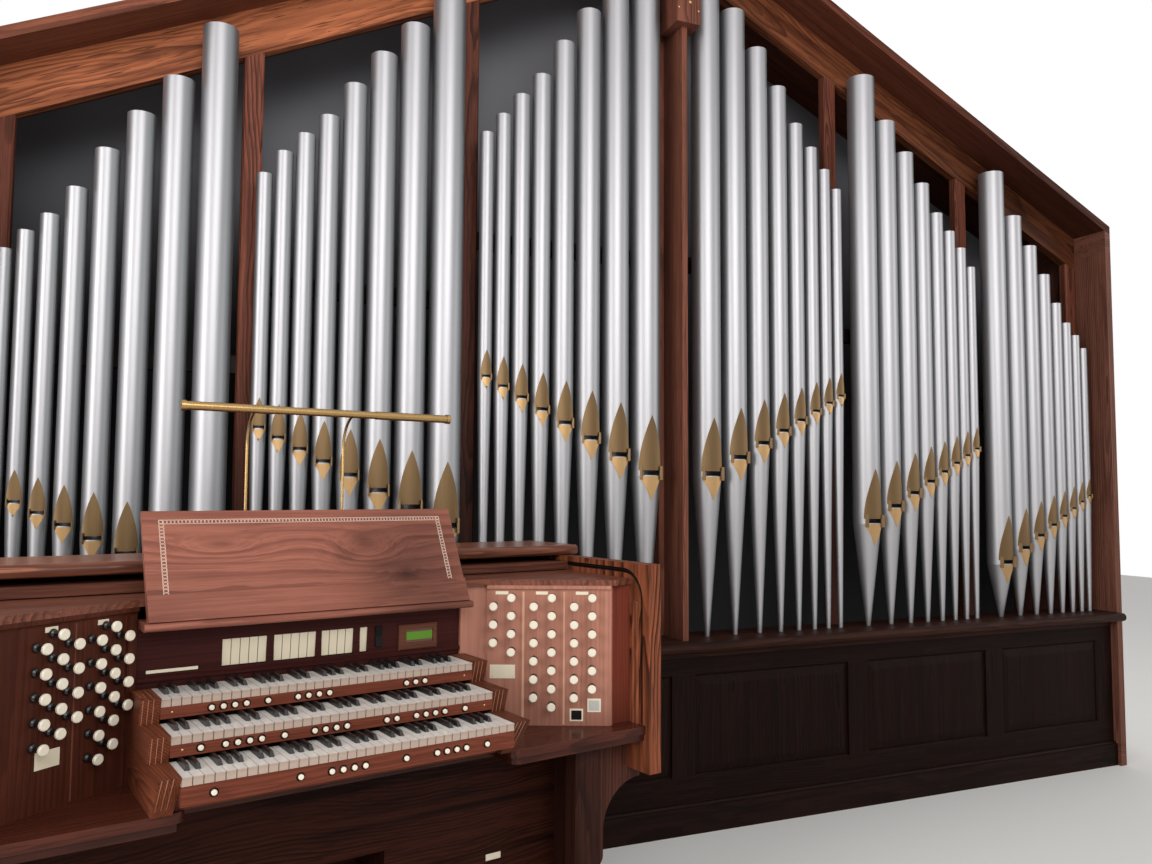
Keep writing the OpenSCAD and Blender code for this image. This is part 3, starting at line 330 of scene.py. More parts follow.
def woodPlace(tree, place, grain, middle, seed, heart, board, slope, mirrored, rails, burls):
    # Where a point of a piece lies in the log that the piece is cut from
    axes = split(tree, place)
    if mirrored:
        place = combine(tree, calc(tree, "ABSOLUTE", axes[0]), axes[1], axes[2])
    if slope:
        n = tree.nodes.new("ShaderNodeMapping")
        wireAll(tree, {"Vector": place, "Rotation": (0, slope, 0)}, n.inputs)
        place = n.outputs[0]
    for x0, z0, wide, high, push in burls:
        # A swell that draws the rings into closed loops
        swell = times(tree, hill(tree, split(tree, place), x0, z0, wide, high), push)
        place = vectorCalc(tree, "ADD", place, combine(tree, 0.0, 0.0, swell))
    parts = list(split(tree, place))
    shift = combine(tree, seed * woodLook["seedStep"], heart[0], heart[1])
    middle = list(middle)
    if board:
        # Each board is cut from another place in the log
        axis, width = board
        index = calc(tree, "ROUND", over(tree, axes[axis], width))
        parts[axis] = minus(tree, parts[axis], times(tree, index, width))
        middle[axis] = 0.0
        chance = tree.nodes.new("ShaderNodeTexWhiteNoise")
        chance.noise_dimensions = "1D"
        wire(tree, plus(tree, index, seed + woodLook["boardSeed"]), chance.inputs["W"])
        spread = vectorCalc(tree, "SUBTRACT", chance.outputs["Color"], (0.0, 0.5, 0.5))
        spread = vectorCalc(tree, "MULTIPLY", spread, woodLook["boardSpread"])
        shift = vectorCalc(tree, "ADD", spread, shift)
    if mirrored:
        step = times(tree, calc(tree, "SIGN", axes[0]), woodLook["mirrorStep"])
        shift = vectorCalc(tree, "ADD", shift, combine(tree, step, 0.0, 0.0))
    parts = [minus(tree, parts[i], float(middle[i])) for i in range(3)]
    vector = combine(tree, *(parts[i] for i in grainOrders[grain]))
    if rails:
        # Rails run level between the stiles and panels of framing
        low, high = rails
        offset = calc(tree, "ABSOLUTE", minus(tree, axes[2], (low + high) / 2))
        level = isAbove(tree, offset, (high - low) / 2)
        vector = blendVectors(tree, level, vector, combine(tree, parts[0], parts[2], parts[1]))
    return vectorCalc(tree, "ADD", vector, shift)


def woodMaterial(name, light, dark, console=False, grain="x", middle=(0, 0, 0), seed=0.0, heart=(0.04, 0.07),
                 board=None, slope=0.0, mirrored=False, rails=None, burls=(), spacing=0.012, wander=0.09,
                 stretch=1.0, pores=0.6, fineness=1.0, contrast=0.75, streaks=0.4, shade=0.22, marksAndPaintedLight=(),
                 right=1.0, dim=None, gloss=0.5, coat=0.0, sheen=0.1):
    material, tree, shader, place = newMaterial(name)
    if console:
        place = inConsole(tree, place)
    axes = split(tree, place)
    vector = woodPlace(tree, place, grain, middle, seed, heart, board, slope, mirrored, rails, burls)
    figure = useGroup(tree, woodFigure, {"Vector": vector, "Spacing": spacing, "Wander": wander,
                                         "Stretch": stretch, "Pores": pores, "Fineness": fineness})
    fibre = remap(tree, figure["Fibre"], *woodLook["fibre"])
    color = blendColors(tree, times(tree, figure["Rings"], contrast), light, dark)
    color = blendColors(tree, times(tree, figure["Streak"], streaks), color, dark)
    color = blendColors(tree, times(tree, fibre, woodLook["fibreDepth"]), color, dark)
    level = timesPlus(tree, minus(tree, figure["Patch"], 0.5), shade * 2.0, 1.0)
    # Hills that change the tone: painted shade, painted light where the depth is negative, and dark marks of
    # the figure
    for x0, z0, wide, high, depth in marksAndPaintedLight:
        markAndPaintedLight = hill(tree, axes, x0, z0, wide, high)
        level = times(tree, level, timesPlus(tree, markAndPaintedLight, -depth, 1.0))
    if right != 1.0:
        # Painted shade: everything right of the middle is taken darker
        level = times(tree, level, timesPlus(tree, isAbove(tree, axes[0], 0.0), right - 1.0, 1.0))
    color = shaded(tree, color, level)
    if dim:
        # Painted shade: past this distance from the middle, the piece is taken darker and redder
        past = isAbove(tree, calc(tree, "ABSOLUTE", axes[0]), dim[0])
        color = blendColors(tree, past, color, blendColors(tree, 1.0, color, dim[1], "MULTIPLY"))
    deep = darker(dark, woodLook["poreTone"])
    color = blendColors(tree, times(tree, figure["Pores"], woodLook["poreDepth"]), color, deep)
    swing = woodLook["glossSwing"]
    roughness = timesPlus(tree, figure["Fibre"], swing, gloss - swing / 2)
    bump = tree.nodes.new("ShaderNodeBump")
    wireAll(tree, dict(woodLook["bump"], Height=figure["Height"]), bump.inputs)
    wireAll(tree, {"Base Color": color, "Roughness": roughness, "Specular IOR Level": sheen,
                   "Coat Weight": coat, "Coat Roughness": woodLook["coatRoughness"],
                   "Normal": bump.outputs[0]}, shader.inputs)
    return material


def dressWood(family, looks, console):
    for name, look in looks.items():
        middle = middleOf(name, console, look.get("slope", 0.0), look.get("mirrored", False))
        dress(name, woodMaterial(family + "." + name, console=console, middle=middle, **look))


# Oak of the case: one stain, with the light and shade it is seen in painted into each part's tones, so the
# low parts' dark tones are partly painted shade; hills are X, Z, width, height and depth, and a negative
# depth paints light
shadowOnRight = (2.4, 3.1, 1.0, 0.8, 0.55)
caseOak = {
    # Raking rails: painted shade on the right-hand rail, by the right factor and a hill
    "raking_rails": dict(
        light=tone(180, 106, 69), dark=tone(76, 34, 20), slope=math.radians(-25), mirrored=True, seed=1,
        heart=(0.05, 0.02), spacing=0.019, wander=0.30, stretch=0.8, contrast=0.72, streaks=0.6, right=0.42,
        pores=0.95, fineness=0.5, marksAndPaintedLight=(shadowOnRight,)),
    "left_roof": dict(
        light=tone(126, 72, 52), dark=tone(62, 32, 23), slope=math.radians(25), seed=2,
        heart=(0.05, 0.1)),
    # Right roof: darker tones and a hill, both painted shade
    "right_roof": dict(
        light=tone(104, 57, 41), dark=tone(48, 24, 17), slope=math.radians(-25), seed=3, heart=(0.05, 0.1),
        sheen=0.06, marksAndPaintedLight=(shadowOnRight,)),
    "left_side": dict(
        light=tone(114, 72, 58), dark=tone(54, 31, 24), grain="z", rails=(0.12, 2.91), board=(1, 0.3),
        seed=4),
    "right_side": dict(
        light=tone(114, 72, 58), dark=tone(54, 31, 24), grain="z", rails=(0.12, 2.91), board=(1, 0.3),
        seed=5),
    "centre_post": dict(
        light=tone(122, 74, 58), dark=tone(58, 33, 25), grain="z", seed=6, spacing=0.011, heart=(0.03, 0.08)),
    # Mullions: painted light on the one at X -1.85, painted shade on the one at X -0.92 and on all of them
    # low down
    "mullions": dict(
        light=tone(118, 66, 50), dark=tone(46, 23, 17), grain="z", board=(0, 0.9), seed=7,
        heart=(0.0, 0.05), wander=0.16, contrast=0.85,
        marksAndPaintedLight=((-1.85, 2.7, 0.3, 1.6, -0.75), (-0.92, 2.7, 0.3, 3.0, 0.35), (0.0, 1.2, 20.0, 0.7, 0.7))),
    "stay_rails": dict(light=tone(34, 24, 20), dark=tone(18, 12, 10), seed=8, board=(0, 0.9)),
    "toe_board": dict(light=tone(54, 30, 23), dark=tone(22, 12, 9), seed=9, heart=(0.02, 0.04), sheen=0.06),
    "wainscot": dict(
        light=tone(31, 17, 14), dark=tone(11, 7, 5), grain="z", rails=(0.25, 0.685), board=(0, 0.31), seed=10,
        sheen=0.04),
    "case_plinth": dict(light=tone(34, 19, 15), dark=tone(13, 8, 6), seed=11, heart=(0.02, 0.04), sheen=0.05),
}
dressWood("caseOak", caseOak, False)

# Oak of the console, under a satin varnish; the low parts' dark tones are partly painted shade
consoleOak = {
    "end_panels": dict(
        light=tone(136, 75, 49), dark=tone(32, 14, 9), grain="z", board=(0, 1.9), spacing=0.013, wander=0.16,
        seed=21, heart=(0.03, 0.03), contrast=0.9, streaks=0.55),
    "console_back": dict(light=tone(108, 60, 43), dark=tone(50, 25, 18), grain="z", board=(0, 0.31), seed=22),
    # Lid: a hill of painted light on its left
    "console_lid": dict(
        light=tone(128, 78, 58), dark=tone(60, 32, 24), seed=23, heart=(0.03, 0.03), gloss=0.32, coat=0.1,
        marksAndPaintedLight=((-0.8, 1.3, 0.35, 1.0, -0.6),)),
    "roll_top": dict(light=tone(98, 56, 42), dark=tone(46, 25, 19), seed=24, board=(1, 0.024)),
    "console_deck": dict(
        light=tone(124, 74, 57), dark=tone(60, 33, 25), seed=25, heart=(0.03, 0.03), gloss=0.34, coat=0.1),
    "pedestal": dict(
        light=tone(58, 31, 24), dark=tone(25, 13, 10), grain="z", seed=26, board=(0, 0.8), sheen=0.07),
    "brackets": dict(light=tone(78, 43, 32), dark=tone(36, 19, 14), grain="z", seed=27),
    "kneeboard": dict(
        light=tone(56, 27, 19), dark=tone(13, 6, 5), seed=28, heart=(0.06, 0.10), wander=0.24, spacing=0.011,
        sheen=0.05, streaks=0.8, fineness=0.6),
    # Key desk: a band of painted shade low on its front
    "key_desk": dict(
        light=tone(86, 42, 30), dark=tone(42, 19, 13), seed=29, heart=(0.02, 0.03), gloss=0.26, coat=0.12,
        marksAndPaintedLight=((0.0, 0.755, 20.0, 0.02, 0.45),)),
    # Cheeks: painted shade on the right-hand ones
    "key_cheeks": dict(
        light=tone(122, 66, 44), dark=tone(62, 30, 20), grain="y", seed=30, board=(0, 0.5), spacing=0.006,
        right=0.6),
    "key_frames": dict(
        light=tone(112, 57, 40), dark=tone(68, 32, 22), seed=31, board=(2, 0.062), spacing=0.007,
        contrast=0.5),
    "pedal_frame": dict(light=tone(66, 37, 28), dark=tone(30, 16, 12), grain="y", seed=32),
}
dressWood("consoleOak", consoleOak, True)

# Walnut of the desk, jambs and tablet board; burls are X, Z, width, height and swell
walnut = {
    "music_desk": dict(
        light=tone(147, 91, 75), dark=tone(80, 42, 34), seed=41, heart=(0.14, 0.05), wander=0.10,
        stretch=1.2, spacing=0.026, contrast=0.52, streaks=0.3, pores=0.25, fineness=1.6, shade=0.34,
        gloss=0.38, coat=0.08,
        burls=((-0.265, 1.360, 0.13, 0.034, 0.06), (0.155, 1.338, 0.11, 0.050, 0.085),
               (0.245, 1.285, 0.06, 0.03, -0.04)),
        marksAndPaintedLight=((0.30, 1.27, 0.20, 0.20, 0.54), (0.262, 1.276, 0.030, 0.016, 0.55),
                 (0.195, 1.300, 0.050, 0.018, 0.32), (0.140, 1.375, 0.035, 0.020, 0.35),
                 (0.095, 1.330, 0.040, 0.020, 0.3), (-0.255, 1.372, 0.030, 0.010, 0.3))),
    # Jambs: one walnut, in painted shade on the left jamb and painted light on the right
    "left_stop_jamb": dict(
        light=tone(78, 39, 27), dark=tone(36, 15, 10), sheen=0.07, grain="z", seed=42, board=(0, 0.22),
        contrast=0.4, streaks=0.25, pores=0.3, fineness=1.6),
    # Right jamb: painted shade on its return, past dim's distance, and a hill of painted shade low down
    "right_stop_jamb": dict(
        light=tone(168, 116, 98), dark=tone(128, 78, 62), grain="z", seed=43, board=(0, 0.13), contrast=0.35,
        streaks=0.3, pores=0.25, fineness=1.6, dim=(0.868, (0.455, 0.224, 0.185, 1.0)),
        marksAndPaintedLight=((1.0, 0.80, 0.5, 0.10, 0.28),)),
    "tablet_board": dict(
        light=tone(60, 25, 22), dark=tone(29, 10, 9), seed=44, contrast=0.5, pores=0.3, fineness=1.6,
        sheen=0.07),
    "display": dict(
        light=tone(98, 58, 43), dark=tone(58, 33, 25), seed=45, spacing=0.006, contrast=0.5, pores=0.3),
}
dressWood("walnut", walnut, True)
pedalMaple = dict(light=tone(176, 138, 98), dark=tone(132, 94, 60), grain="y", board=(0, 0.0665),
                  spacing=0.006, contrast=0.5, pores=0.2)
dress("pedal_naturals", woodMaterial("pedalMaple", console=True, **pedalMaple))
print("wood done")


def setFinish(tree, shader, place, color, mask=None, roughness=0.4, metallic=0.0, amount=0.12, scale=8.0,
              coat=0.0, sheen=0.5):
    # A mottled finish; the mask takes its colour down where lines or shadows lie
    change = useGroup(tree, mottle, {"Vector": place, "Scale": scale, "Amount": amount})
    level = change["Tone"] if mask is None else times(tree, change["Tone"], mask)
    roughness = plus(tree, change["Gloss"], roughness)
    wireAll(tree, {"Base Color": shaded(tree, color, level), "Roughness": roughness, "Metallic": metallic,
                   "Coat Weight": coat, "Specular IOR Level": sheen}, shader.inputs)


def plainMaterial(name, look):
    material, tree, shader, place = newMaterial(name)
    setFinish(tree, shader, place, **look)
    return material


plainLooks = {
    "lampBrass": dict(color=tone(172, 140, 92), roughness=0.28, metallic=1.0, amount=0.2, scale=20.0),
    "ivory": dict(color=tone(222, 208, 188), roughness=0.32, amount=0.06, scale=12.0, coat=0.2),
    "keyBlack": dict(color=tone(30, 26, 26), roughness=0.3, amount=0.3, scale=20.0, coat=0.2),
    "rubber": dict(color=tone(34, 34, 36), roughness=0.7, amount=0.3, scale=20.0),
    "inlayCream": dict(color=tone(226, 204, 186), roughness=0.45, scale=60.0),
    "mapleString": dict(color=tone(132, 79, 53), roughness=0.45, amount=0.2, scale=60.0),
    "plateIvory": dict(color=tone(212, 200, 176), amount=0.05, scale=40.0),
    "blackPlastic": dict(color=tone(14, 12, 12), amount=0.2, scale=40.0, sheen=0.12),
    "screenGreen": dict(color=tone(84, 126, 36), roughness=0.35, amount=0.1, scale=60.0, sheen=0.2),
    "bezelBrown": dict(color=tone(84, 48, 36), amount=0.1, scale=40.0),
    "silverPaper": dict(color=tone(168, 166, 160), roughness=0.35, amount=0.3, scale=60.0),
    "pinBrass": dict(color=tone(196, 160, 118), roughness=0.3, metallic=1.0, amount=0.1, scale=60.0),
}
plain = {name: plainMaterial(name, look) for name, look in plainLooks.items()}

# Display pipes: tones from left to right, paler where the surface faces left as painted light and darker
# where it faces right as painted shade, and fine streaks along each pipe
pipeLook = {"left": tone(161, 159, 161), "right": tone(127, 129, 131), "turned": (-0.25, 0.75),
            "streaks": (160.0, 160.0, 1.4), "streakDepth": 0.03, "metallic": 0.85, "roughness": 0.42}


def pipeMetal():
    # Satin spun metal, with painted light on its left side and painted shade on its right
    material, tree, shader, place = newMaterial("pipeMetal")
    streak = noise(tree, vectorCalc(tree, "MULTIPLY", place, pipeLook["streaks"]), detail=3.0)["Fac"]
    side = remap(tree, split(tree, surfaceNormal(tree))[0], *pipeLook["turned"])
    color = blendColors(tree, side, pipeLook["left"], pipeLook["right"])
    depth = pipeLook["streakDepth"]
    level = timesPlus(tree, minus(tree, streak, 0.5), depth, 1.0)
    wireAll(tree, {"Base Color": shaded(tree, color, level), "Metallic": pipeLook["metallic"],
                   "Roughness": timesPlus(tree, streak, depth, pipeLook["roughness"])}, shader.inputs)
    return material


pipeFinish = pipeMetal()
for name in nodes:
    if name.endswith("_pipes"):
        dress(name, pipeFinish)

# Pipe mouths: tone and gloss follow the brushing, as depth and start
mouthLook = {"upper": tone(106, 85, 60), "lower": tone(174, 140, 98), "facingDown": -0.003,
             "brushing": (500.0, 0.0, 8.0), "toneSwing": (0.5, 0.75), "glossSwing": (0.1, 0.36),
             "flatness": 0.55, "front": (0.0, -1.0, 0.0)}


def mouthFinish():
    # Bronze upper lips and paler lower lips, both beaten nearly flat
    material, tree, shader, place = newMaterial("mouthFinish")
    normal = surfaceNormal(tree)
    lower = calc(tree, "LESS_THAN", split(tree, normal)[2], mouthLook["facingDown"])
    brushed = noise(tree, vectorCalc(tree, "MULTIPLY", place, mouthLook["brushing"]), detail=3.0)["Fac"]
    level = timesPlus(tree, brushed, *mouthLook["toneSwing"])
    color = blendColors(tree, lower, mouthLook["upper"], mouthLook["lower"])
    flat = blendVectors(tree, mouthLook["flatness"], normal, mouthLook["front"])
    wireAll(tree, {"Base Color": shaded(tree, color, level), "Metallic": 1.0,
                   "Roughness": timesPlus(tree, brushed, *mouthLook["glossSwing"]),
                   "Normal": vectorCalc(tree, "NORMALIZE", flat)}, shader.inputs)
    return material


# Boards behind the pipes: painted shade runs from a low height to a high one, in tone from dim to full
backLook = {"tone": tone(116, 115, 119), "shadeFade": (2.0, 3.3, 0.16, 1.0), "roughness": 0.85, "sheen": 0.1,
            "mottle": {"Scale": 1.5, "Amount": 0.3}}


def backFinish():
    # Grey paint, with painted shade low down and full tone over the pipes' tops
    material, tree, shader, place = newMaterial("backFinish")
    change = useGroup(tree, mottle, dict(backLook["mottle"], Vector=place))
    level = times(tree, change["Tone"], remap(tree, split(tree, place)[2], *backLook["shadeFade"]))
    wireAll(tree, {"Base Color": shaded(tree, backLook["tone"], level), "Roughness": backLook["roughness"],
                   "Specular IOR Level": backLook["sheen"]}, shader.inputs)
    return material


# Tilting tablets stand in four groups, and each group starts its own count of lines
tabletLook = {"starts": (-0.247, -0.111, 0.022, 0.135), "before": 0.004, "pitch": 0.0235,
              "halfLine": 0.0016, "depth": 0.6,
              "finish": dict(color=tone(212, 199, 174), roughness=0.35, amount=0.06, scale=12.0)}


def tabletFinish():
    # Ivory tablets with a dark line where two meet
    material, tree, shader, place = newMaterial("tabletFinish")
    x = split(tree, inConsole(tree, place))[0]
    start, *others = tabletLook["starts"]
    for first in others:
        reached = isAbove(tree, x, first - tabletLook["before"])
        start = timesPlus(tree, reached, minus(tree, first, start), start)
    count = minus(tree, x, start)
    line = seams(tree, count, tabletLook["pitch"], tabletLook["halfLine"], tabletLook["depth"])
    setFinish(tree, shader, place, mask=line, **tabletLook["finish"])
    return material


# Drawknobs: the head starts at this distance from the jamb's face
knobLook = {"stem": tone(20, 17, 17), "head": tone(216, 206, 186), "headFrom": 0.0415,
            "finish": dict(roughness=0.33, amount=0.06, scale=40.0, coat=0.2)}


def knobFinish():
    # Ivory heads on black stems
    material, tree, shader, place = newMaterial("knobFinish")
    inside = inConsole(tree, place)
    reach = {}
    for name, jamb in jambs.items():
        out = (-jamb["side"] * math.sin(jamb["turn"]), -math.cos(jamb["turn"]), 0)
        offset = vectorCalc(tree, "SUBTRACT", inside, (jamb["corner"][0], jamb["corner"][1], 0))
        reach[name] = vectorCalc(tree, "DOT_PRODUCT", offset, out)
    right = isAbove(tree, split(tree, inside)[0], 0.0)
    far = plus(tree, times(tree, reach["right"], right), times(tree, reach["left"], minus(tree, 1.0, right)))
    head = isAbove(tree, far, knobLook["headFrom"])
    color = blendColors(tree, head, knobLook["stem"], knobLook["head"])
    setFinish(tree, shader, place, color, **knobLook["finish"])
    return material


# Natural keys: half the width of a manual and the pitch of its keys, and the lines between them
keyLook = {"half": 0.423, "pitch": 0.0235, "halfLine": 0.0017, "depth": 0.75, "facingFront": (0.5, 0.9),
           "frontLine": 0.8, "top": tone(218, 212, 204), "front": tone(166, 144, 129),
           "finish": dict(roughness=0.3, amount=0.07, scale=30.0, coat=0.2)}


def keyFinish():
    # Pale plates over browner fronts, with a dark line between keys
    material, tree, shader, place = newMaterial("keyFinish")
    turn = consolePlace["turn"]
    ahead = vectorCalc(tree, "DOT_PRODUCT", surfaceNormal(tree), (math.sin(turn), -math.cos(turn), 0))
    front = remap(tree, ahead, *keyLook["facingFront"])
    count = plus(tree, split(tree, inConsole(tree, place))[0], keyLook["half"])
    line = seams(tree, count, keyLook["pitch"], keyLook["halfLine"], keyLook["depth"])
    line = calc(tree, "MAXIMUM", line, times(tree, minus(tree, 1.0, front), keyLook["frontLine"]))
    color = blendColors(tree, front, keyLook["top"], keyLook["front"])
    setFinish(tree, shader, place, color, mask=line, **keyLook["finish"])
    return material


otherFinishes = {
    "pipe_mouths": mouthFinish(), "case_back": backFinish(), "tilting_tablets": tabletFinish(),
    "drawknobs": knobFinish(), "natural_keys": keyFinish(), "sharp_keys": plain["keyBlack"],
    "pedal_sharps": plain["keyBlack"], "thumb_pistons": plain["ivory"], "desk_lamp": plain["lampBrass"],
    "expression_shoes": plain["rubber"],
}
for name, material in otherFinishes.items():
    dress(name, material)
print("metal, ivory and boards done")


# Geometry Nodes trees for what repeats along paths and at points
def newTree(name, sizes):
    tree = bpy.data.node_groups.new(name, "GeometryNodeTree")
    sockets = tree.interface
    sockets.new_socket("Geometry", in_out="INPUT", socket_type="NodeSocketGeometry")
    for label, value in sizes.items():
        sockets.new_socket(label, in_out="INPUT", socket_type="NodeSocketFloat").default_value = value
    sockets.new_socket("Finish", in_out="INPUT", socket_type="NodeSocketMaterial")
    sockets.new_socket("Geometry", in_out="OUTPUT", socket_type="NodeSocketGeometry")
    return tree, tree.nodes.new("NodeGroupInput").outputs


def addNode(tree, kind, values, **settings):
    n = tree.nodes.new("GeometryNode" + kind)
    for name, value in settings.items():
        setattr(n, name, value)
    wireAll(tree, values, n.inputs)
    return n.outputs


def endTree(tree, given, geometry):
    real = addNode(tree, "RealizeInstances", {"Geometry": geometry})[0]
    shown = addNode(tree, "SetMaterial", {"Geometry": real, "Material": given["Finish"]})[0]
    wire(tree, shown, tree.nodes.new("NodeGroupOutput").inputs["Geometry"])
    return tree


def hoop(tree, radius, wireRadius, turns=14, sides=5):
    # A ring of round wire, flat in the local X and Z
    big = addNode(tree, "CurvePrimitiveCircle", {"Resolution": turns, "Radius": radius})[0]
    small = addNode(tree, "CurvePrimitiveCircle", {"Resolution": sides, "Radius": wireRadius})[0]
    ring = addNode(tree, "CurveToMesh", {"Curve": big, "Profile Curve": small})[0]
    return addNode(tree, "Transform", {"Geometry": ring, "Rotation": (math.radians(90), 0, 0)})[0]


def makeChainTree():
    # Overlapping oval links along each path
    sizes = {"Pitch": 0.0095, "Link Length": 0.0125, "Link Width": 0.01, "Wire": 0.0005, "Flatness": 0.5}
    tree, given = newTree("chainBand", sizes)
    path = addNode(tree, "MeshToCurve", {"Mesh": given["Geometry"]})[0]
    spots = addNode(tree, "CurveToPoints", {"Curve": path, "Length": given["Pitch"]}, mode="LENGTH")
    aim = tree.nodes.new("FunctionNodeAlignRotationToVector")
    aim.axis = "X"
    aim.pivot_axis = "Y"
    wire(tree, spots["Tangent"], aim.inputs["Vector"])
    ring = hoop(tree, over(tree, given["Link Length"], 2.0), given["Wire"], turns=10, sides=4)
    thin = combine(tree, 1.0, given["Flatness"], over(tree, given["Link Width"], given["Link Length"]))
    link = addNode(tree, "Transform", {"Geometry": ring, "Scale": thin})[0]
    links = addNode(tree, "InstanceOnPoints", {"Points": spots["Points"], "Instance": link,
                                               "Rotation": aim.outputs[0]})[0]
    return endTree(tree, given, links)


def makeStringTree():
    # A thin round string along each path
    tree, given = newTree("stringing", {"Width": 0.002})
    path = addNode(tree, "MeshToCurve", {"Mesh": given["Geometry"]})[0]
    radius = over(tree, given["Width"], 2.0)
    section = addNode(tree, "CurvePrimitiveCircle", {"Resolution": 6, "Radius": radius})[0]
    line = addNode(tree, "CurveToMesh", {"Curve": path, "Profile Curve": section, "Fill Caps": True})[0]
    return endTree(tree, given, line)


def makeStudTree():
    # A low round head at each point, facing along the local Y
    tree, given = newTree("studs", {"Width": 0.006, "Height": 0.0015})
    half = over(tree, given["Width"], 2.0)
    ball = addNode(tree, "MeshUVSphere", {"Segments": 12, "Rings": 8, "Radius": 1.0})[0]
    flat = combine(tree, half, given["Height"], half)
    head = addNode(tree, "Transform", {"Geometry": ball, "Scale": flat})[0]
    heads = addNode(tree, "InstanceOnPoints", {"Points": given["Geometry"], "Instance": head})[0]
    return endTree(tree, given, heads)


def makeRingTree():
    # A ring of round wire at each point, round the local Y
    tree, given = newTree("rings", {"Width": 0.015, "Wire": 0.002})
    ring = hoop(tree, over(tree, given["Width"], 2.0), over(tree, given["Wire"], 2.0))
    rings = addNode(tree, "InstanceOnPoints", {"Points": given["Geometry"], "Instance": ring})[0]
    return endTree(tree, given, rings)


chainTree, stringTree, studTree, ringTree = makeChainTree(), makeStringTree(), makeStudTree(), makeRingTree()


def pathMesh(paths):
    mesh = bpy.data.meshes.new("paths")
    points, edges = [], []
    for path in paths:
        edges += [(len(points) + i, len(points) + i + 1) for i in range(len(path) - 1)]
        points += path
    mesh.from_pydata(points, edges, [])
    return mesh


def pointMesh(points):
    return pathMesh([[point] for point in points])


def finishPiece(name, mesh, matrix, material):
    # The piece's place goes into its mesh
    mesh.transform(matrix)
    if matrix.determinant() < 0:
        mesh.flip_normals()
    mesh.materials.clear()
    mesh.materials.append(material)
    piece = bpy.data.objects.new(name, mesh)
    scene.collection.objects.link(piece)
    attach(piece, "root")


def grow(name, tree, host, sizes, matrix, material):
    # Runs a tree on the host's points or edges and keeps the result as a plain mesh
    start = bpy.data.objects.new(name + ".host", host)
    scene.collection.objects.link(start)
    modifier = start.modifiers.new("nodes", "NODES")
    modifier.node_group = tree
    for item in tree.interface.items_tree:
        if item.in_out == "INPUT" and item.name in sizes:
            modifier[item.identifier] = sizes[item.name]
        if item.in_out == "INPUT" and item.name == "Finish":
            modifier[item.identifier] = material
    graph = bpy.context.evaluated_depsgraph_get()
    mesh = bpy.data.meshes.new_from_object(start.evaluated_get(graph), depsgraph=graph)
    start.modifiers.clear()
    bpy.data.objects.remove(start)
    finishPiece(name, mesh, matrix, material)


def rounded(bm, name, bevel):
    # Rounds all arrises and keeps the result as a mesh
    bmesh.ops.bevel(bm, geom=bm.edges[:], offset=bevel, segments=2, profile=0.6, affect="EDGES")
    mesh = bpy.data.meshes.new(name)
    bm.to_mesh(mesh)
    bm.free()
    return mesh


def slabs(boxes, bevel=0.0004):
    # Thin boards, each from its lowest to its highest corner
    bm = bmesh.new()
    for low, high in boxes:
        for v in bmesh.ops.create_cube(bm, size=1.0)["verts"]:
            v.co = Vector([a + (b - a) * (c + 0.5) for a, b, c in zip(low, high, v.co)])
    return rounded(bm, "slabs", bevel)


def extruded(outline, x0, x1, bevel):
    # An outline of Y and Z drawn out along X
    bm = bmesh.new()
    ends = [[bm.verts.new((x, y, z)) for y, z in outline] for x in (x0, x1)]
    count = len(outline)
    for i in range(count):
        j = (i + 1) % count
        bm.faces.new((ends[0][i], ends[0][j], ends[1][j], ends[1][i]))
    bm.faces.new(ends[0])
    bm.faces.new(list(reversed(ends[1])))
    bmesh.ops.recalc_face_normals(bm, faces=bm.faces[:])
    return rounded(bm, "extruded", bevel)


# Inlaid chain band round the music desk, on the leaning board
deskInlay = {
    "foot": (0, 0.309, 1.186), "lean": math.radians(-28), "side": 0.399, "top": 0.2775, "end": 0.0745,
    "links": {"Pitch": 0.0095, "Link Length": 0.0128, "Link Width": 0.0102, "Wire": 0.0005},
    "border": 0.0062, "line": {"Width": 0.0009}}
deskLean = Matrix.Rotation(deskInlay["lean"], 4, "X")
deskMatrix = consoleMatrix @ Matrix.Translation(deskInlay["foot"]) @ deskLean


def bandPath(out):
    # Up the left side, across the top and down the right side, moved out by a distance
    side, top = deskInlay["side"] + out, deskInlay["top"] + out
    end = deskInlay["end"]
    return [(-side, 0, end), (-side, 0, top), (side, 0, top), (side, 0, end)]


footLeft, topLeft, topRight, footRight = bandPath(0)
legs = [[footLeft, topLeft], [topLeft, topRight], [footRight, topRight]]
borders = [bandPath(deskInlay["border"]), bandPath(-deskInlay["border"])]
cream = plain["inlayCream"]
grow("desk_inlay_chain", chainTree, pathMesh(legs), deskInlay["links"], deskMatrix, cream)
grow("desk_inlay_lines", stringTree, pathMesh(borders), deskInlay["line"], deskMatrix, cream)

# Light strings let into the fronts and tops of the stepped cheeks: the first X and the last Y of
# each cheek, and the profile in Y and Z
cheekLines = {
    "cheeks": ((-0.4693, 0.360), (0.4693 - 0.046, 0.375)), "offsets": (0.006, 0.018, 0.030),
    "size": {"Width": 0.0030}, "sink": 0.0009, "top": 1.017,
    "profile": ((0.076, 0.792), (-0.006, 0.893), (0.134, 0.893), (0.114, 0.955), (0.254, 0.955),
                (0.234, 1.017))}
sink = cheekLines["sink"]
paths = []
for first, back in cheekLines["cheeks"]:
    line = cheekLines["profile"] + ((back, cheekLines["top"]),)
    for offset in cheekLines["offsets"]:
        paths.append([(first + offset, y + sink, z - sink) for y, z in line])
grow("cheek_strings", stringTree, pathMesh(paths), cheekLines["size"], consoleMatrix, plain["mapleString"])

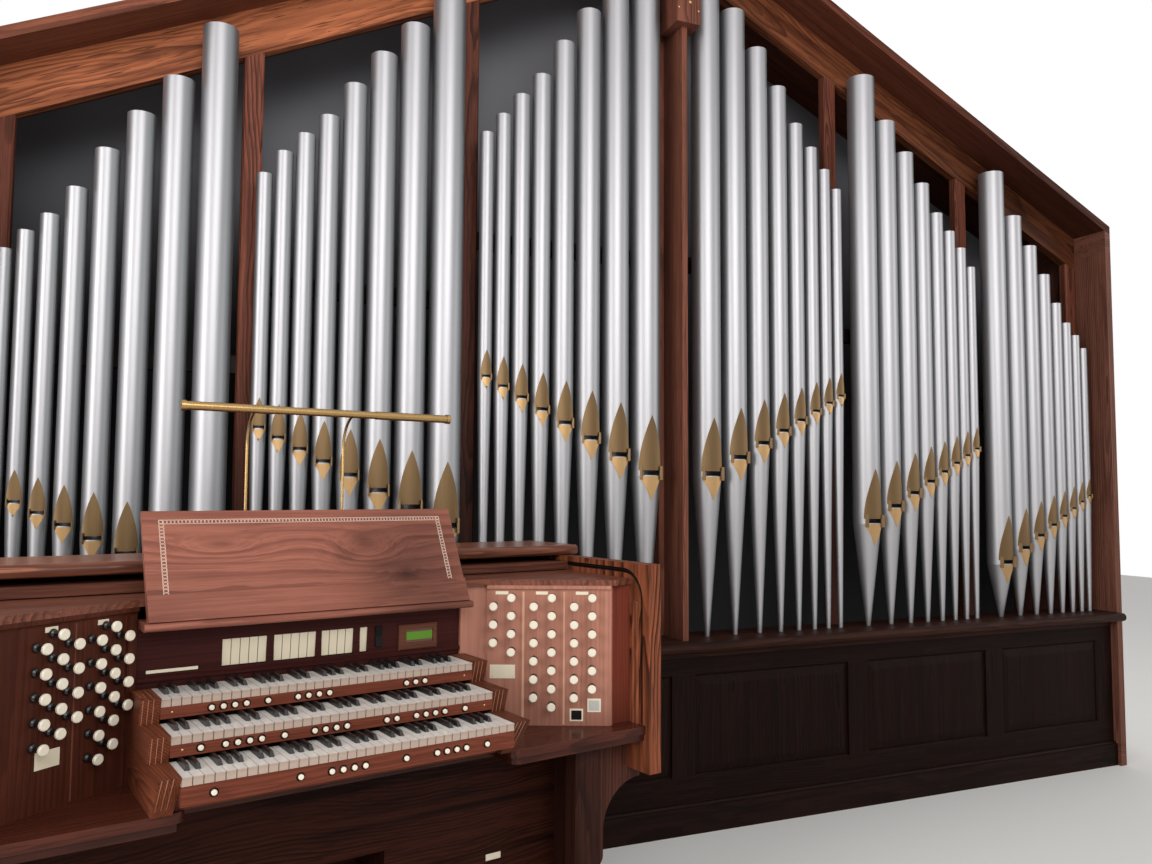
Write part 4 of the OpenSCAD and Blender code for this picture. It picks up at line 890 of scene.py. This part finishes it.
# Pins at the ends of the slips and black rings round the thumb pistons; the rows of pistons have
# the first place in millimetres and the count of each group, from the lowest slip up
slips = {
    "y": (0.002, 0.122, 0.242), "z": (0.848, 0.918, 0.980), "pinAt": 0.397,
    "pin": {"Width": 0.0055, "Height": 0.0014}, "pitch": 0.028, "ring": {"Width": 0.0172, "Wire": 0.0040},
    "ringOut": 0.0005,
    "rows": (((-354, 1), (-160, 1), (-85, 4), (107, 1), (192, 4), (338, 1)),
             ((-357, 1), (-301, 4), (-162, 1), (-87, 4), (105, 2), (189, 4), (335, 1)),
             ((-306, 4), (-168, 1), (-91, 4), (214, 3)))}
pins = [(side * slips["pinAt"], slips["y"][m], slips["z"][m]) for m in (1, 2) for side in (-1, 1)]
grow("slip_pins", studTree, pointMesh(pins), slips["pin"], consoleMatrix, plain["pinBrass"])
spots = [(first / 1000 + i * slips["pitch"], slips["y"][m] - slips["ringOut"], slips["z"][m])
         for m, row in enumerate(slips["rows"]) for first, count in row for i in range(count)]
grow("piston_rings", ringTree, pointMesh(spots), slips["ring"], consoleMatrix, plain["blackPlastic"])

# Bare plates over the knob columns and low on each board, measured from the jamb's outer end
plateSink = 0.0005
jambPlates = {
    "board": 0.006, "thick": 0.0016, "screws": ((0.313, 0.150), (0.376, 0.150)),
    "screw": {"Width": 0.004, "Height": 0.0008},
    "left": ((0.228, 0.400, 0.259, 0.412), (0.362, 0.400, 0.391, 0.412), (0.215, 0.095, 0.275, 0.135)),
    "right": ((0.077, 0.403, 0.117, 0.413), (0.204, 0.403, 0.242, 0.413), (0.328, 0.403, 0.368, 0.413),
              (0.305, 0.144, 0.384, 0.186))}


def jambSlabs(name, side, plates, material, lift=0.0, thick=jambPlates["thick"], bevel=0.0004):
    y0 = jambPlates["board"] - plateSink + lift
    y1 = jambPlates["board"] + lift + thick
    boxes = [((x0, y0, z0), (x1, y1, z1)) for x0, z0, x1, z1 in plates]
    finishPiece(name, slabs(boxes, bevel), jambFaces[side], material)


for side in jambs:
    jambSlabs(side + "_jamb_plates", side, jambPlates[side], plain["plateIvory"])
heads = [(x, jambPlates["board"] + jambPlates["thick"], z) for x, z in jambPlates["screws"]]
grow("plate_screws", studTree, pointMesh(heads), jambPlates["screw"], jambFaces["right"], plain["pinBrass"])

# Light strips between the knob columns, in painted shade on the left jamb and painted light on the right
jambStrips = {
    "left": ((0.304, 0.003, 0.308, 0.412),),
    "right": ((0.277, 0.003, 0.284, 0.412), (0.150, 0.003, 0.156, 0.412)),
    "thick": 0.0004, "bevel": 0.0002, "darkPart": 0.7,
    "tones": {"left": tone(104, 62, 50), "right": tone(196, 148, 122)}}
for side in jambs:
    light = jambStrips["tones"][side]
    finish = woodMaterial(side + "StripWood", light, darker(light, jambStrips["darkPart"]), console=True,
                          grain="z", spacing=0.004, contrast=0.4, pores=0.2)
    jambSlabs(side + "_jamb_strips", side, jambStrips[side], finish, thick=jambStrips["thick"],
              bevel=jambStrips["bevel"])

# Small framed window and a bare label in its frame, low on the right board
jambWindow = {"frames": ((0.092, 0.014, 0.134, 0.052), (0.037, 0.042, 0.079, 0.083)), "rim": 0.005,
              "windowLift": 0.0015, "labelLift": 0.0012}
rim = jambWindow["rim"]
window, label = [(x0 + rim, z0 + rim, x1 - rim, z1 - rim) for x0, z0, x1, z1 in jambWindow["frames"]]
jambSlabs("jamb_window_frames", "right", jambWindow["frames"], plain["plateIvory"])
jambSlabs("jamb_window", "right", [window], plain["blackPlastic"], lift=jambWindow["windowLift"])
jambSlabs("jamb_label", "right", [label], plain["silverPaper"], lift=jambWindow["labelLift"])


def frontSlab(name, area, front, back, material):
    # A plate on a face of the console towards -Y, from its front to its back
    x0, z0, x1, z1 = area
    finishPiece(name, slabs([((x0, front, z0), (x1, back, z1))]), consoleMatrix, material)


# Screen's glass in its frame
screen = {"frame": (0.2755, 1.0643, 0.3629, 1.1037), "front": 0.3842, "back": 0.3852,
          "lit": (0.277, 1.0725, 0.3615, 1.0965), "thick": 0.0012}
front = screen["front"]
frontSlab("screen_bezel", screen["frame"], front, screen["back"], plain["bezelBrown"])
frontSlab("screen_glass", screen["lit"], front - screen["thick"], front + plateSink, plain["screenGreen"])

# Black rocker beside the tablets, tilted at its middle; the outline goes out from the face and up
tabletFace = 0.390
rocker = {"ends": (0.1806, 0.2014), "foot": 1.064, "bevel": 0.0003,
          "outline": ((-0.001, -0.0004), (0.0084, -0.0004), (0.0036, 0.028), (0.0068, 0.0564),
                      (-0.001, 0.0564))}
outline = [(tabletFace - out, rocker["foot"] + up) for out, up in rocker["outline"]]
cap = extruded(outline, rocker["ends"][0], rocker["ends"][1], rocker["bevel"])
finishPiece("rocker_cap", cap, consoleMatrix, plain["blackPlastic"])

# Bare plates by the tablets and on the kneeboard
frontPlates = {
    "tablet_plate": {"area": (-0.432, 1.050, -0.307, 1.058), "face": tabletFace, "thick": 0.0014},
    "knee_plate": {"area": (0.536, 0.388, 0.588, 0.407), "face": 0.350, "thick": 0.0016}}
for name, plate in frontPlates.items():
    front, back = plate["face"] - plate["thick"], plate["face"] + plateSink
    frontSlab(name, plate["area"], front, back, plain["plateIvory"])

# Black strip in the groove of each end panel, which the roll top runs in: a dark piece that stands in for the
# groove's shade
grooveShadeStrip = {"x": 0.9590, "y": 0.108, "foot": 0.792, "top": 1.263, "bend": 0.092, "back": 0.820,
               "steps": 10, "size": {"Width": 0.0135}}
bend, top = grooveShadeStrip["bend"], grooveShadeStrip["top"]
turns = [math.radians(90 / grooveShadeStrip["steps"] * i) for i in range(grooveShadeStrip["steps"] + 1)]
corner = [(grooveShadeStrip["y"] + bend * (1 - math.cos(a)), top - bend * (1 - math.sin(a))) for a in turns]
line = [(grooveShadeStrip["y"], grooveShadeStrip["foot"])] + corner + [(grooveShadeStrip["back"], top)]
paths = [[(side * grooveShadeStrip["x"], y, z) for y, z in line] for side in (-1, 1)]
grow("groove_shade_strips", stringTree, pathMesh(paths), grooveShadeStrip["size"], consoleMatrix, plain["blackPlastic"])

# Round heads on the block at the top of the centre post: their width, then X and Z of each
blockHeads = {"face": -0.126, "height": 0.35, "heads": {
    "block_bolt": (0.016, ((0.007, 3.785),)), "block_pins": (0.010, ((-0.052, 3.750), (0.052, 3.750)))}}
for name, (width, spots) in blockHeads["heads"].items():
    host = pointMesh([(x, blockHeads["face"], z) for x, z in spots])
    size = {"Width": width, "Height": width * blockHeads["height"]}
    grow(name, studTree, host, size, Matrix.Identity(4), plain["pinBrass"])
print("small parts done")

# Camera of the photograph: place and lens, then turns in degrees
view = {"place": (-2.077, -3.700, 1.520), "lens": 28.53, "sensor": 36, "farthest": 60,
        "yaw": 23.03, "pitch": 3.65, "roll": 0.30}


def addCamera():
    yaw, pitch, roll = (math.radians(view[k]) for k in ("yaw", "pitch", "roll"))
    ahead = Vector((math.sin(yaw) * math.cos(pitch), math.cos(yaw) * math.cos(pitch), math.sin(pitch)))
    right = Vector((math.cos(yaw), -math.sin(yaw), 0))
    up = right.cross(ahead)
    tilted = right * math.cos(roll) + up * math.sin(roll)
    top = up * math.cos(roll) - right * math.sin(roll)
    data = bpy.data.cameras.new("camera")
    data.lens = view["lens"]
    data.sensor_width = view["sensor"]
    data.sensor_fit = "HORIZONTAL"
    data.clip_end = view["farthest"]
    camera = bpy.data.objects.new("camera", data)
    turned = Matrix((tilted, top, -ahead)).transposed().to_4x4()
    camera.matrix_world = Matrix.Translation(view["place"]) @ turned
    scene.collection.objects.link(camera)
    scene.camera = camera


addCamera()

# Floor, world and lamps; each lamp has its place, aim, width, height and power
studio = {
    "half": 14.0, "paint": tone(225, 223, 220), "roughness": 0.8, "sky": 0.55,
    "lamps": {
        "keyLamp": ((-1.5, -7.0, 4.2), (0.0, 0.0, 1.6), 5.0, 3.0, 272),
        "leftLamp": ((-6.5, -3.5, 3.0), (-0.5, 0.0, 1.6), 2.5, 3.5, 182),
        "rightLamp": ((6.5, -4.0, 3.5), (0.5, 0.0, 1.6), 2.5, 3.5, 80),
        "backLamp": ((0.0, 6.5, 4.5), (0.0, 0.0, 1.8), 4.0, 3.0, 160)}}


def addFloor():
    mesh = bpy.data.meshes.new("floor")
    h = studio["half"]
    mesh.from_pydata([(-h, -h, 0), (h, -h, 0), (h, h, 0), (-h, h, 0)], [], [(0, 1, 2, 3)])
    floor = bpy.data.objects.new("floor", mesh)
    scene.collection.objects.link(floor)
    material, _, shader, _ = newMaterial("floorPaint")
    shader.inputs["Base Color"].default_value = studio["paint"]
    shader.inputs["Roughness"].default_value = studio["roughness"]
    mesh.materials.append(material)


def addWorld():
    # White where the camera, or a reflection, sees it, and dimmer as light
    world = bpy.data.worlds.new("studioLight")
    world.use_nodes = True
    scene.world = world
    tree = world.node_tree
    back = next(n for n in tree.nodes if n.type == "BACKGROUND")
    rays = tree.nodes.new("ShaderNodeLightPath").outputs
    seen = calc(tree, "MAXIMUM", rays["Is Glossy Ray"], rays["Is Transmission Ray"])
    seen = calc(tree, "MAXIMUM", rays["Is Camera Ray"], seen)
    back.inputs["Color"].default_value = (1, 1, 1, 1)
    wire(tree, timesPlus(tree, seen, 1.0 - studio["sky"], studio["sky"]), back.inputs["Strength"])


def addLamps():
    for name, (place, aim, width, height, power) in studio["lamps"].items():
        data = bpy.data.lights.new(name, "AREA")
        data.shape = "RECTANGLE"
        data.size, data.size_y, data.energy = width, height, power
        lamp = bpy.data.objects.new(name, data)
        lamp.location = place
        lamp.rotation_euler = (Vector(aim) - Vector(place)).to_track_quat("-Z", "Y").to_euler()
        scene.collection.objects.link(lamp)


addFloor()
addWorld()
addLamps()
scene.view_settings.view_transform = "Standard"
print("camera and light done")

bpy.context.view_layer.update()
